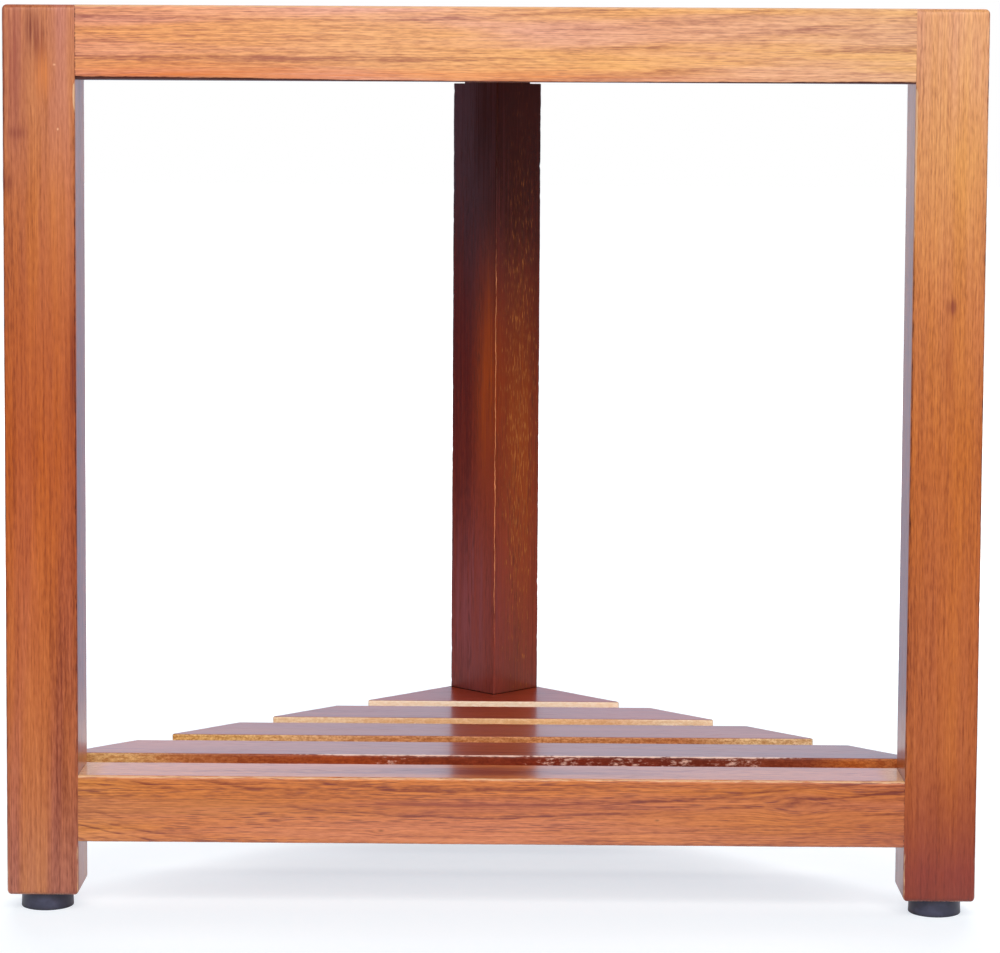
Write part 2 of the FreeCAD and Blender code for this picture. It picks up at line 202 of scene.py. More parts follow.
def colourRamp(value, stops):
    # the colour at a value from 0 to 1, between (place, colour) stops
    node = newNode("ValToRGB", {"Fac": value})
    marks = node.color_ramp.elements
    marks[0].color, marks[1].color = stops[0][1], stops[-1][1]
    for place, colour in stops[1:-1]:
        marks.new(place).color = colour
    return node.outputs["Color"]


surroundLook = {
    "ambient": (0.90, 0.95, 1.0, 1), "ambientLevel": 0.18,  # what lights the stool from all round
    "backdrop": (1.0, 1.0, 1.0, 1),  # what the camera sees
    "mirroredBehind": (0.58, 0.67, 0.84, 1),  # what gloss shows: the backdrop, the front wall, the dark rest
    "mirroredFront": (1.6, 1.55, 1.5, 1),
    "mirroredRest": (0.045, 0.047, 0.055, 1),
    "behindFrom": (0.35, 0.75), "frontFrom": (-0.5, -0.88), "frontAbove": (-0.04, 0.05),
}


def makeSurroundings(look):
    world = bpy.data.worlds.new("studio")
    world.use_nodes = True
    bpy.context.scene.world = world
    startTree(world.node_tree)
    ray = addNode("LightPath")
    toward = addNode("SeparateXYZ", {0: addNode("TexCoord")["Generated"]})
    behind = ramp(toward["Y"], *look["behindFrom"])
    front = times(ramp(toward["Y"], *look["frontFrom"]), ramp(toward["Z"], *look["frontAbove"]))
    gloss = tint(behind, look["mirroredRest"], look["mirroredBehind"])
    gloss = tint(front, gloss, look["mirroredFront"])
    lit = addNode("Background", {"Color": look["ambient"], "Strength": look["ambientLevel"]})
    glossy = blend(ray["Is Glossy Ray"], lit, addNode("Background", {"Color": gloss}))
    direct = calc("MAXIMUM", ray["Is Camera Ray"], ray["Is Transmission Ray"])
    seen = blend(direct, glossy, addNode("Background", {"Color": look["backdrop"]}))
    addNode("OutputWorld", {"Surface": seen[0]})


floorLook = {
    "reach": 12.0,
    "colour": (0.78, 0.79, 0.84, 1),  # what it gives back to the stool
    "seenColour": (0.43, 0.43, 0.41, 1),  # what the camera sees, beside the lift
    "lift": (0.72, 1.0),  # light added for the camera and gloss alone, near and far
    "liftEnds": (0.42, 0.95),
    "glossShare": 0.325,  # how much of it gloss gets
    "liftColour": (0.855, 0.92, 1.0, 1),
    "mirroredFar": ((0.04, 0.042, 0.05, 1), (0.38, 0.56, 0.78, 1)),  # what gloss shows of it in front, behind
    "sheetEnd": (0.25, 0.5),  # from where gloss shows that instead
    "behind": (0.1, 0.5),
}


def layFloor(look):
    mesh = bpy.data.meshes.new("floor")
    corners = [(x * look["reach"], y * look["reach"], 0) for x, y in ((-1, -1), (1, -1), (1, 1), (-1, 1))]
    mesh.from_pydata(corners, [], [(0, 1, 2, 3)])
    floor = addObject("floor", mesh)
    paint = newPaint("pale floor")
    ray = addNode("LightPath")
    matt = addNode("BsdfDiffuse", {"Color": tint(ray["Is Camera Ray"], look["colour"], look["seenColour"])})
    spot = addNode("TexCoord")["Object"]
    away = addNode("VectorMath", {0: spot}, operation="LENGTH")["Value"]
    lifted = ramp(away, *look["liftEnds"], *look["lift"], "LINEAR")
    inGloss = times(ray["Is Glossy Ray"], look["glossShare"])
    level = times(calc("MAXIMUM", ray["Is Camera Ray"], inGloss), lifted)
    hue = tint(ramp(away, *look["liftEnds"]), look["liftColour"], (1, 1, 1, 1))
    lift = addNode("Emission", {"Color": hue, "Strength": level})
    both = addNode("AddShader", {0: matt[0], 1: lift[0]})
    depth = addNode("SeparateXYZ", {0: spot})["Y"]
    far = tint(ramp(depth, *look["behind"]), *look["mirroredFar"])
    beyond = times(ramp(away, *look["sheetEnd"]), ray["Is Glossy Ray"])
    shown = blend(beyond, both, addNode("Emission", {"Color": far}))
    addNode("OutputMaterial", {"Surface": shown[0]})
    mesh.materials.append(paint)
    return floor


placeCamera(cameraLook)
for lampName, lampLook in lampLooks.items():
    placeLamp(lampName, lampLook)
makeSurroundings(surroundLook)
paleFloor = layFloor(floorLook)
bpy.context.scene.view_settings.view_transform = "Standard"
print("camera, lamps and floor placed")


# Surfaces: arrays of points first, then faces between neighbouring rings

cornerTurns = np.linspace(0, np.pi / 2, 7)  # points on each rounded corner
sideShares = np.array([0.02, 0.1, 0.22, 0.36, 0.5, 0.64, 0.78, 0.9, 0.98])  # points on each flat
easeTurns = np.linspace(0, np.pi / 2, 6)  # rings on each eased end
cornerOfColumn = np.repeat(np.arange(4), len(cornerTurns) + len(sideShares))
cornerOfColumn[np.tile(np.arange(len(cornerTurns) + len(sideShares)) >= len(cornerTurns), 4)] = -1
cornerIsHigh = np.array([(0, 0), (1, 0), (1, 1), (0, 1)], bool)
leastRadius = 0.1 * mm


def barRings(low, high, radii):
    # A rounded rectangle for each station. A corner's points are its centre plus its radius times the
    # cosine and sine of (where the corner starts + turn). The flats lie between the ends of the arcs.
    turns = np.radians([180, 270, 0, 90])[:, None] + cornerTurns
    centres = np.where(cornerIsHigh, high[:, None], low[:, None]) + np.where(cornerIsHigh, -1, 1) * radii[..., None]
    arcs = centres[:, :, None] + radii[..., None, None] * np.stack([np.cos(turns), np.sin(turns)], -1)
    nextStarts = np.roll(arcs[:, :, :1], -1, axis=1)
    share = sideShares[:, None]
    flats = arcs[:, :, -1:] * (1 - share) + nextStarts * share
    return np.concatenate([arcs, flats], axis=2).reshape(len(low), -1, 2)


def stationsAlong(start, stop, pitch, startEase, stopEase, extra=()):
    # places along a bar, closer together where an end is eased: distance = ease * (1 - cos turn)
    near = start + startEase * (1 - np.cos(easeTurns))
    far = stop - stopEase * (1 - np.cos(easeTurns))
    middle = np.arange(start + startEase + pitch, stop - stopEase - pitch / 2, pitch)
    return np.unique(np.concatenate([near, middle, far, extra]))


def drawnIn(distance, ease):
    # how far a profile draws in at this distance from an eased end: e - sqrt(e * e - (e - d) * (e - d))
    inside = np.clip(ease - distance, 0, ease)
    return ease - np.sqrt(ease ** 2 - inside ** 2)


def wander(places, seed, lengths=(0.07, 0.021, 0.006), shares=(0.5, 0.3, 0.2)):
    # sum of sine waves along a bar: share * sin(2 pi * place / length + phase), phases drawn from the seed
    draw = np.random.default_rng(seed)
    total = np.zeros_like(places)
    for length, share in zip(lengths, shares):
        length = length * draw.uniform(0.8, 1.25)
        total += share * np.sin(2 * np.pi * places / length + draw.uniform(0, 2 * np.pi))
    return total


def nicks(places, seed, count, width):
    # sum of count bumps exp(-((place - middle) / width) squared), middles and depths drawn from the seed
    draw = np.random.default_rng(seed)
    middles = draw.uniform(places.min(), places.max(), count)
    depths = draw.uniform(0.2, 1, count)
    return (depths * np.exp(-((places[:, None] - middles) / width) ** 2)).sum(1)


def arrisRadii(stations, shape, arrises, seed, nickSeed=None):
    # the radius of each arris along a bar: arris * (1 + share * wander), and the dents' depth if it has any
    radii = []
    for corner, arris in enumerate(arrises):
        radius = arris * (1 + shape["unevenShare"] * wander(stations, seed + corner))
        if nickSeed:
            dents = nicks(stations, nickSeed + corner, shape["nickCount"], shape["nickWidth"])
            radius = radius + shape["nickDepth"] * dents
        radii.append(radius)
    return np.stack(radii, 1)


def fadeBetween(places, low, high, fade):
    # 0 outside low..high, 1 inside, with a smooth step of length fade at both
    share = np.clip(np.minimum(places - low, high - places) / fade, 0, 1)
    return share * share * (3 - 2 * share)


def ringFaces(rows, columns, looped=False):
    # quads between neighbouring rings, and one many-sided face over each end unless the rings are a loop
    number = np.arange(rows * columns).reshape(rows, columns)
    if looped:
        number = np.concatenate([number, number[:1]])
    after = np.roll(number, -1, axis=1)
    quads = np.stack([number[:-1], after[:-1], after[1:], number[1:]], axis=-1).reshape(-1, 4).tolist()
    return quads if looped else quads + [number[0, ::-1].tolist(), number[-1].tolist()]


def makePiece(node, paint, grids, marks=None, looped=False):
    # one smooth mesh of grids of points (rows, columns, 3) in place of a node; marks hold a value for each point
    first, *others = node.split("_")
    name = first + "".join(word.capitalize() for word in others)
    points, faces, count = [], [], 0
    for grid in grids:
        rows, columns = grid.shape[:2]
        faces += [[count + corner for corner in face] for face in ringFaces(rows, columns, looped)]
        points += grid.reshape(-1, 3).tolist()
        count += rows * columns
    mesh = bpy.data.meshes.new(name)
    mesh.from_pydata(points, [], faces)
    for key, values in (marks or {}).items():
        mark = mesh.attributes.new(key, "FLOAT", "POINT")
        mark.data.foreach_set("value", values.astype(np.float32).ravel())
    mesh.polygons.foreach_set("use_smooth", np.ones(len(mesh.polygons), bool))
    mesh.set_sharp_from_angle(angle=math.radians(38))
    mesh.update()
    mesh.materials.append(paint)
    piece = addObject(name, mesh)
    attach(piece, bodyOf[node])
    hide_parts(node)
    return piece


arcStep = math.radians(15)
besideArc = 0.6 * mm


def softPath(corners, closed, pitch=None):
    # Points along a path with rounded corners: (x, y, radius) for each corner, anticlockwise if closed.
    # A corner's arc is its start plus or minus radius * (turned normal - first normal).
    # Gives the points, their outward normals, and the number of the side that each lies on (-1 on an arc).
    spots, radii = np.split(np.array(corners, float), [2], axis=1)
    count = len(spots)
    steps = np.roll(spots, -1, axis=0) - spots
    directions = steps / np.hypot(*steps.T)[:, None]
    starts, ends, arcs = spots.copy(), spots.copy(), []
    for number in range(count):
        before, after, radius = directions[number - 1], directions[number], radii[number, 0]
        if not closed and number in (0, count - 1):
            side = before if number else after
            arcs.append((spots[number:number + 1], np.array([[side[1], -side[0]]])))
            continue
        turn = math.atan2(before[0] * after[1] - before[1] * after[0], before @ after)
        reach = radius * math.tan(abs(turn) / 2)
        starts[number] -= before * reach
        ends[number] += after * reach
        parts = max(2, int(round(abs(turn) / arcStep)))
        angles = math.atan2(-before[0], before[1]) + np.linspace(0, turn, parts + 1)
        swing = np.stack([np.cos(angles), np.sin(angles)], 1)
        arcs.append((starts[number] + math.copysign(radius, turn) * (swing - swing[0]), swing))
    points, normals, sides = [], [], []
    for number, (arc, swing) in enumerate(arcs):
        points.append(arc)
        normals.append(swing)
        sides.append(np.full(len(arc), -1))
        start, step = ends[number], starts[(number + 1) % count] - ends[number]
        length = np.hypot(*step)
        if pitch and length > 2 * pitch and (closed or number < count - 1):
            margin = besideArc / length
            share = np.arange(pitch, length - pitch / 2, pitch) / length
            share = np.unique(np.clip(np.concatenate([[margin], share, [1 - margin]]), 0, 1))
            points.append(start + step * share[:, None])
            normals.append(np.tile([step[1] / length, -step[0] / length], (len(share), 1)))
            sides.append(np.full(len(share), number))
    return [np.concatenate(part) for part in (points, normals, sides)]


plateRows = 5  # rings on each eased arris
faceInset = 0.5 * mm  # from the arris to the ring on a plate's face


def plateGrid(points, normals, lowZ, highZ, lowEase, highEase):
    # An outline carried up: each ring is the outline less its normal times an inset. On an arris of
    # radius e the inset is e * (1 - cos turn) and the height is e * (1 - sin turn) short of the face.
    # Returns the grid and, for each row, how far up the plate's edge it lies, from 0 to 1 (2 on the face).
    turn = np.linspace(0, np.pi / 2, plateRows)[:, None]
    lowEase, highEase = np.broadcast_to(lowEase, len(points)), np.broadcast_to(highEase, len(points))
    below, above = lowEase * (1 - np.cos(turn))[::-1], highEase * (1 - np.cos(turn))
    inset = np.concatenate([below[:1] + faceInset, below, 0 * below[:1], above, above[-1:] + faceInset])
    bottom, top = lowZ + lowEase * (1 - np.sin(turn))[::-1], highZ - highEase * (1 - np.sin(turn))
    middle = np.full((1, len(points)), (lowZ + highZ) / 2)
    height = np.concatenate([bottom[:1], bottom, middle, top, top[-1:]])
    rank = np.concatenate([[-1], -np.ones(plateRows), [0.5], np.linspace(0.6, 1, plateRows), [2]])
    return np.concatenate([points - normals * inset[:, :, None], height[:, :, None]], axis=2), rank


def turnedGrid(profile, columns, centre=(0, 0), ridge=None):
    # A profile of (radius, z) points turned about Z: (r cos a, r sin a, z), r changed by ridge(a, z).
    turn = np.linspace(0, 2 * np.pi, columns, endpoint=False)
    radius, height = (np.repeat(profile[:, part:part + 1], columns, axis=1) for part in (0, 1))
    if ridge:
        radius = radius + ridge(turn[None], height)
    return np.stack([centre[0] + radius * np.cos(turn), centre[1] + radius * np.sin(turn), height], axis=-1)


def triangleWave(turn, height, pitch):
    # climbs one pitch each turn: |1 - 2 * fraction(height / pitch - turn / whole turn)|
    return np.abs(1 - 2 * np.mod(height / pitch - turn / (2 * np.pi), 1))


# Teak. The figure is worked out in the member's own lengths: along the grain, across the face, into the face.

def cloud(place, scales, detail=2.0, roughness=0.5):
    # noise whose patches are 1 / scale long in each direction
    stretched = vectorCalc("MULTIPLY", place, scales)
    inputs = {"Vector": stretched, "Scale": 1.0, "Detail": detail, "Roughness": roughness}
    return addNode("TexNoise", inputs)["Fac"]


figureInputs = ("place", "seed", "ringWidth", "pithAcross", "pithDepth", "drift", "arch", "bend")
figureOutputs = ("line", "band", "hue", "streak", "fibre", "pore", "speck", "dot")
figureNoises = {      # patches in a metre along, across and into the face, detail, roughness
    "bend": ((5, 9, 9), 2.0, 0.45), "ripple": ((32, 60, 60), 2.0, 0.5), "band": ((2.6, 42, 42), 2.0, 0.5),
    "hue": ((5, 85, 110), 2.0, 0.55), "streak": ((12, 760, 760), 3.0, 0.65), "fibre": ((26, 1500, 1500), 2.0, 0.5),
    "speck": ((190, 1400, 1400), 2.0, 0.5), "dot": ((900, 1300, 1300), 2.0, 0.5),
    "breaks": ((6, 300, 300), 2.0, 0.5), "crowd": ((12, 150, 150), 1.0, 0.5),
}
figureShape = {
    "ripple": 1.4 * mm, "late": (0.58, 0.86), "early": (1.0, 0.9),     # where in a ring its dark line rises and ends
    "breaks": (0.36, 0.58), "leastLine": 0.15, "poreCells": (80, 1500, 1500), "poreEdge": (0.45, 0.15),
    "crowd": (0.36, 0.62),
}


def teakFigureGroup(shape):
    # Growth rings are cylinders about the pith: ring = distance from the pith / ring width. A slow noise
    # bends them. Fibres, bands and pores are noises drawn out along the grain.
    tree = bpy.data.node_groups.new("teak figure", "ShaderNodeTree")
    for name in figureInputs:
        kind = "NodeSocketVector" if name in ("place", "seed") else "NodeSocketFloat"
        tree.interface.new_socket(name=name, in_out="INPUT", socket_type=kind)
    for name in figureOutputs:
        tree.interface.new_socket(name=name, in_out="OUTPUT", socket_type="NodeSocketFloat")
    startTree(tree)
    given = addNode("NodeGroupInput")
    place = vectorCalc("ADD", given["place"], given["seed"])
    local = addNode("SeparateXYZ", {0: given["place"]})
    noise = {part: cloud(place, *sizes) for part, sizes in figureNoises.items()}
    across = minus(local["Y"], given["pithAcross"])
    across = timesPlus(local["X"], given["drift"], across)
    across = timesPlus(times(local["X"], local["X"]), given["arch"], across)
    across = timesPlus(minus(noise["bend"], 0.5), given["bend"], across)
    deep = minus(local["Z"], given["pithDepth"])
    distance = calc("SQRT", calc("ADD", times(across, across), times(deep, deep)))
    distance = timesPlus(minus(noise["ripple"], 0.5), shape["ripple"], distance)
    ring = calc("DIVIDE", distance, given["ringWidth"])
    phase = calc("FRACT", ring)
    strength = addNode("TexWhiteNoise", {"W": calc("FLOOR", ring)}, noise_dimensions="1D")["Value"]
    strength = timesPlus(strength, 1 - shape["leastLine"], shape["leastLine"])
    strength = times(strength, ramp(noise["breaks"], *shape["breaks"]))
    line = times(times(ramp(phase, *shape["late"]), ramp(phase, *shape["early"])), strength)
    cell = vectorCalc("MULTIPLY", place, shape["poreCells"])
    spot = addNode("TexVoronoi", {"Vector": cell, "Scale": 1.0})["Distance"]
    pore = times(ramp(spot, *shape["poreEdge"]), ramp(noise["crowd"], *shape["crowd"]))
    shown = {"line": line, "pore": pore, **{part: noise[part] for part in figureOutputs if part in noise}}
    addNode("NodeGroupOutput", shown)
    return tree


teakFigure = teakFigureGroup(figureShape)


# What a member's look may change. wood and raw are stops (mm along, red, green, blue). The tints multiply the wood
# where its tone is lowest and highest; the shares are each figure part's weight in the tone. Patches and glints are
# (mm along, across, into the face, length, width, red, green, blue, share), knots and swirls end with the radius.
teakBase = {
    "wood": ((0, 190, 106, 58),), "darkTint": (0.5, 0.36, 0.34, 1), "lightTint": (1.3, 1.5, 1.6, 1),
    # The stain colour also paints shade, and the wear colour also paints highlights on arrises.
    "pore": shade(116, 50, 34), "poreShare": 0.35, "worn": shade(232, 184, 140), "stained": shade(78, 30, 20),
    "raw": ((0, 224, 172, 116),), "rawDark": (0.72, 0.56, 0.42, 1), "fleckShare": 0.4, "roughAlong": 130,
    "yellower": (1.05, 1.03, 0.7, 1), "pinker": (0.96, 0.94, 1.3, 1), "hueShare": 0.5,
    "lineShare": 0.3, "bandShare": 0.5, "streakShare": 0.45, "fibreShare": 0.35, "speckShare": 0.3,
    "ringWidth": 4.5 * mm, "pithAcross": 60 * mm, "pithDepth": 30 * mm, "drift": 0.0, "arch": 0.0,
    "bend": 14 * mm, "seed": (0, 0, 0), "knots": (), "swirls": (), "patches": (), "glints": (),
    "polish": 0.45, "polishRough": 0.17, "ior": 1.45, "bump": 0.12, "bumpDepth": 0.3 * mm,
    "knotColour": shade(74, 34, 26), "knotShare": 0.55,
}


def squaredOffset(place, spot, scales):
    # the offset from a spot, and its squared length once each direction is scaled
    offset = vectorCalc("SUBTRACT", place, spot)
    scaled = vectorCalc("MULTIPLY", offset, scales)
    return offset, vectorCalc("DOT_PRODUCT", scaled, scaled)


def knotPlace(place, knot):
    # Draws the grain round a knot: the across place moves towards the knot by exp(-distance squared).
    # Returns the moved place and how near the knot is, 0 to 1.
    *spot, radius = (part * mm for part in knot)
    offset, square = squaredOffset(place, spot, (0.45 / radius, 1 / radius, 1 / radius))
    near, core = (calc("EXPONENT", times(square, -steepness)) for steepness in (0.16, 3.0))
    pull = vectorCalc("SCALE", vectorCalc("MULTIPLY", offset, (0, 0.85, 0.85)), near)
    return vectorCalc("SUBTRACT", place, pull), core


def alongGrain(place, stops):
    # the colour at this place along the grain, between stops in rising order
    if len(stops) == 1:
        return shade(*stops[0][1:])
    first, last = stops[0][0] * mm, stops[-1][0] * mm
    spread = ramp(place, first, last, kind="LINEAR")
    return colourRamp(spread, [((where * mm - first) / (last - first), shade(*colour)) for where, *colour in stops])


def addPatches(colour, place, patches, cloudy, gain, level):
    # A patch's strength is share * exp(-(along / length) squared - (distance / width) squared), made uneven
    # by a noise: times exp(-gain * (noise - level)).
    for *sizes, red, green, blue, share in patches:
        *spot, length, width = (part * mm for part in sizes)
        square = squaredOffset(place, spot, (1 / length, 1 / width, 1 / width))[1]
        uneven = timesPlus(cloudy, gain, minus(square, gain * level))
        strength = calc("EXPONENT", times(uneven, -1.0))
        strength = calc("MULTIPLY", strength, share, clamp=True)
        colour = tint(strength, colour, shade(red, green, blue))
    return colour


def closePaint(colour, rough, height, bump, depth, **plain):
    # the shader with its relief, and the material's output
    relief = addNode("Bump", {"Height": height, "Strength": bump, "Distance": depth})[0]
    finish = addNode("BsdfPrincipled", {"Base Color": colour, "Roughness": rough, "Normal": relief, **plain})
    addNode("OutputMaterial", {"Surface": finish[0]})


def teakFinish(name, look, middle, axes):
    # Oiled teak for one member. middle is its centre, axes its directions along, across and into the face.
    look = {**teakBase, **look}
    paint = newPaint(name)
    fromMiddle = vectorCalc("SUBTRACT", addNode("TexCoord")["Object"], middle)
    along, across, deep = (vectorCalc("DOT_PRODUCT", fromMiddle, axis) for axis in axes)
    place = addNode("CombineXYZ", {0: along, 1: across, 2: deep})[0]
    cores = []
    for knot in look["knots"]:
        place, core = knotPlace(place, knot)
        cores.append(core)
    for swirl in look["swirls"]:
        place = knotPlace(place, swirl)[0]
    inputs = {"place": place, **{key: look[key] for key in figureInputs[1:]}}
    figure = addNode("Group", inputs, node_tree=teakFigure)

    tone = 0.5
    for part in ("band", "streak", "fibre", "speck"):
        tone = timesPlus(minus(figure[part], 0.5), 2 * look[part + "Share"], tone)
    tone = timesPlus(figure["line"], -look["lineShare"], tone, clamp=True)
    tints = colourRamp(tone, ((0, look["darkTint"]), (0.5, (1, 1, 1, 1)), (1, look["lightTint"])))
    colour = tint(1.0, alongGrain(along, look["wood"]), tints, "MULTIPLY")
    hue = tint(ramp(figure["hue"], 0.36, 0.64), look["yellower"], look["pinker"])
    colour = tint(look["hueShare"], colour, hue, "MULTIPLY")
    colour = addPatches(colour, place, look["patches"], figure["streak"], 4.0, 0.5)
    colour = addPatches(colour, place, look["glints"], figure["speck"], 16.0, 0.42)
    colour = tint(times(figure["pore"], look["poreShare"]), colour, look["pore"])
    for core in cores:
        colour = tint(times(core, look["knotShare"]), colour, look["knotColour"])

    rough = cloud(place, (look["roughAlong"], 1000, 1000), 3.0, 0.6)
    raw = addNode("Attribute", attribute_name="raw")["Fac"]
    flecks = times(ramp(figure["dot"], 0.54, 0.42), look["fleckShare"])
    sawn = alongGrain(along, look["raw"])
    for share in (ramp(rough, 0.65, 0.35), flecks):
        sawn = tint(share, sawn, look["rawDark"], "MULTIPLY")
    colour = tint(raw, colour, sawn)
    # The stain mark paints stains and painted shade; the wear mark paints wear and painted highlights on arrises.
    for mark in ("stained", "worn"):
        markShare = addNode("Attribute", attribute_name=mark)["Fac"]
        patchy = ramp(timesPlus(markShare, 0.8, rough), 0.75, 1.05)
        colour = tint(patchy, colour, look[mark])
    height = timesPlus(raw, rough, timesPlus(figure["pore"], -0.8, figure["fibre"]))
    sheen = timesPlus(raw, 0.4, timesPlus(figure["pore"], 0.15, 0.3))
    closePaint(colour, sheen, height, look["bump"], look["bumpDepth"],
               **{"Coat Weight": look["polish"], "Coat Roughness": look["polishRough"], "IOR": look["ior"]})
    return paint


def makeMember(node, look, axes, grids, marks=None):
    # a wooden piece in place of its node
    low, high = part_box(node)
    paint = teakFinish("teak " + node.replace("_", " "), look, (low + high) / 2, axes)
    return makePiece(node, paint, grids, marks)


print("teak figure ready")


# Front legs: square bars with rounded arrises, sharp where a rail meets them

legShape = {
    "arris": 1.5 * mm, "endArris": 2.4 * mm, "jointArris": 0.15 * mm, "stopFade": 3 * mm, "pitch": 1.0 * mm,
    "unevenShare": 0.2, "seed": 20, "nickSeed": 40, "nickCount": 14, "nickDepth": 0.35 * mm, "nickWidth": 1.1 * mm,
    "footMarkHeight": 45 * mm, "footWorn": (0.65, 0.55),  # how far up, and how much on the inner and the outer arris, of the lighter foot lines: wear and painted highlight
    # The lighter lines on the leg's arrises and foot rim are partly wear and partly painted highlight.
    "rimWearAndHighlight": 0.6, "rimDepth": 0.7 * mm,
    "innerWearAndHighlight": (0.15, 0.75), "innerStained": 0.5, "outerStained": 0.45,
    "holeSteps": ((8.55, 0), (8.55, 1.55), (6.05, 1.55), (6.05, 14), (5, 14), (5, 23.5)),  # mm, for the foot
    "creamLength": {"left": 18 * mm, "right": 90 * mm},  # of the lighter line under the seat rail: wear and painted highlight
}

frontLeftTeak = {
    "wood": ((-211, 181, 109, 76), (-170, 183, 105, 68), (-120, 183, 99, 57), (-50, 181, 91, 43), (0, 175, 83, 31),
             (60, 176, 88, 38), (120, 181, 100, 53), (170, 182, 109, 74), (200, 182, 110, 80)),
    "seed": (1.7, 0.3, 0.0), "pithAcross": -110 * mm, "pithDepth": 75 * mm, "ringWidth": 5.2 * mm, "bend": 5 * mm,
    "lineShare": 0.14, "streakShare": 0.5, "bandShare": 0.75, "fibreShare": 0.4, "speckShare": 0.5,
    "poreShare": 0.12, "hueShare": 0.7, "polish": 0.3,
    "patches": ((200, -4, -17, 10, 1.8, 112, 36, 22, 0.8), (196, -0.8, -17, 13, 1.2, 116, 34, 18, 0.75),
                (188, 1.6, -17, 12, 1.4, 136, 56, 34, 0.6), (185, -12, -17, 40, 6, 156, 78, 58, 0.5),
                (178, 2, -17, 12, 4, 208, 122, 62, 0.6), (151, -10.5, -17, 3, 4, 134, 60, 44, 0.7),
                (128, -15, -17, 4, 3, 124, 50, 32, 0.7), (153, 9, -17, 0.5, 0.4, 236, 180, 140, 0.7),
                (183, 7.5, -17, 0.4, 0.6, 236, 180, 140, 0.7), (40, 15.5, -17, 35, 1.6, 124, 46, 26, 0.8)),
}
frontRightTeak = {
    # The stops run from dark at the foot to light at the top.
    "wood": ((-211, 130, 48, 28), (-197, 136, 50, 30), (-140, 178, 94, 46), (-69, 184, 98, 45), (0, 188, 102, 42),
             (73, 197, 117, 60), (144, 208, 140, 80), (200, 212, 149, 102)),
    "seed": (4.1, 1.2, 0.0), "pithAcross": 120 * mm, "pithDepth": 60 * mm, "ringWidth": 5.6 * mm, "bend": 5 * mm,
    "lineShare": 0.06, "streakShare": 0.32, "bandShare": 0.4, "fibreShare": 0.36, "speckShare": 0.5,
    "poreShare": 0.1, "hueShare": 0.5, "polish": 0.3,
    "patches": ((72, 1.5, -17, 4, 2.4, 140, 66, 42, 0.85), (45, 1, -17, 20, 2, 164, 82, 38, 0.5)),
}


def footHoleRings(ring, centre, levelZ, steps):
    # a ring's points moved onto circles round the centre, one for each (radius, height) step, deepest first
    angles = np.arctan2(ring[:, 1] - centre[1], ring[:, 0] - centre[0])
    return np.stack([np.stack([centre[0] + radius * mm * np.cos(angles), centre[1] + radius * mm * np.sin(angles),
                               np.full(len(angles), levelZ + height * mm)], 1) for radius, height in steps[::-1]])


arcShares = np.array([0, 0.15, 0.7, 1, 0.7, 0.15, 0])  # how much of a mark each point of an arc takes
underShares = np.array([0.1, 0.5, 0.9, 1, 1, 1, 1])  # the same for the painted shade that goes on below an arris


def marksOfCorners(rings, byCorner, shares=arcShares):
    # a value for each point: the corner's own times the arc's shares, nothing on the flats
    values = np.zeros(rings.shape[:2])
    for corner, share in enumerate(byCorner):
        values[:, cornerOfColumn == corner] = np.reshape(share, (-1, 1)) * shares
    return values


def makeFrontLeg(side, shape, look):
    node = "front_" + side + "_leg"
    low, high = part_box(node)
    ease = shape["endArris"]
    stations = stationsAlong(low.z, high.z, shape["pitch"], ease, ease)
    foot, top = drawnIn(stations - low.z, ease), drawnIn(high.z - stations, ease)
    inner, outer = (0, 1) if side == "right" else (1, 0)
    lows = np.stack([low.x + foot + top * (side == "left"), low.y + foot + top], 1)
    highs = np.stack([high.x - foot - top * (side == "right"), high.y - foot - top], 1)
    free = np.maximum(fadeBetween(stations, low.z - 9 * mm, shelfRailLow.z, shape["stopFade"]),
                      fadeBetween(stations, shelfRailHigh.z, seatRailLow.z, shape["stopFade"]))
    seeds = [shape[key] + 7 * inner for key in ("seed", "nickSeed")]
    radii = arrisRadii(stations, shape, [shape["arris"]] * 4, *seeds)
    radii[:, inner] = shape["jointArris"] + (radii[:, inner] - shape["jointArris"]) * free
    flat = barRings(lows, highs, np.maximum(radii - (foot + top)[:, None], leastRadius))
    rings = np.concatenate([flat, np.broadcast_to(stations[:, None, None], flat.shape[:2] + (1,))], axis=2)
    hole = footHoleRings(rings[0], ((low.x + high.x) / 2, (low.y + high.y) / 2), low.z, shape["holeSteps"])
    rings = np.concatenate([hole, rings])
    length = shape["creamLength"][side]
    cream = fadeBetween(stations, seatRailLow.z - length, high.z, length / 2)
    nearFoot = np.exp(-((stations - low.z) / shape["footMarkHeight"]) ** 2)
    rim = shape["rimWearAndHighlight"] * np.exp(-(stations - low.z) / shape["rimDepth"])
    # Arris lines: the lighter ones are wear and painted highlight, the darker ones stain.
    least, more = shape["innerWearAndHighlight"]
    worn, stained = np.zeros((2, 4, len(stations)))
    worn[inner] = np.maximum(free * (least + more * cream), shape["footWorn"][0] * nearFoot)
    worn[outer] = shape["footWorn"][1] * nearFoot
    stained[inner] = shape["innerStained"] * free * (1 - cream)
    worn, stained = (np.pad(part, ((0, 0), (len(hole), 0))) for part in (worn, stained))
    stained[outer] = shape["outerStained"]
    worn = np.maximum(marksOfCorners(rings, worn), np.pad(rim, (len(hole), 0))[:, None])
    marks = {"worn": worn, "stained": marksOfCorners(rings, stained)}
    makeMember(node, look, (upright, alongX, alongY), [rings], marks)


makeFrontLeg("left", legShape, frontLeftTeak)
makeFrontLeg("right", legShape, frontRightTeak)
print("front legs made")
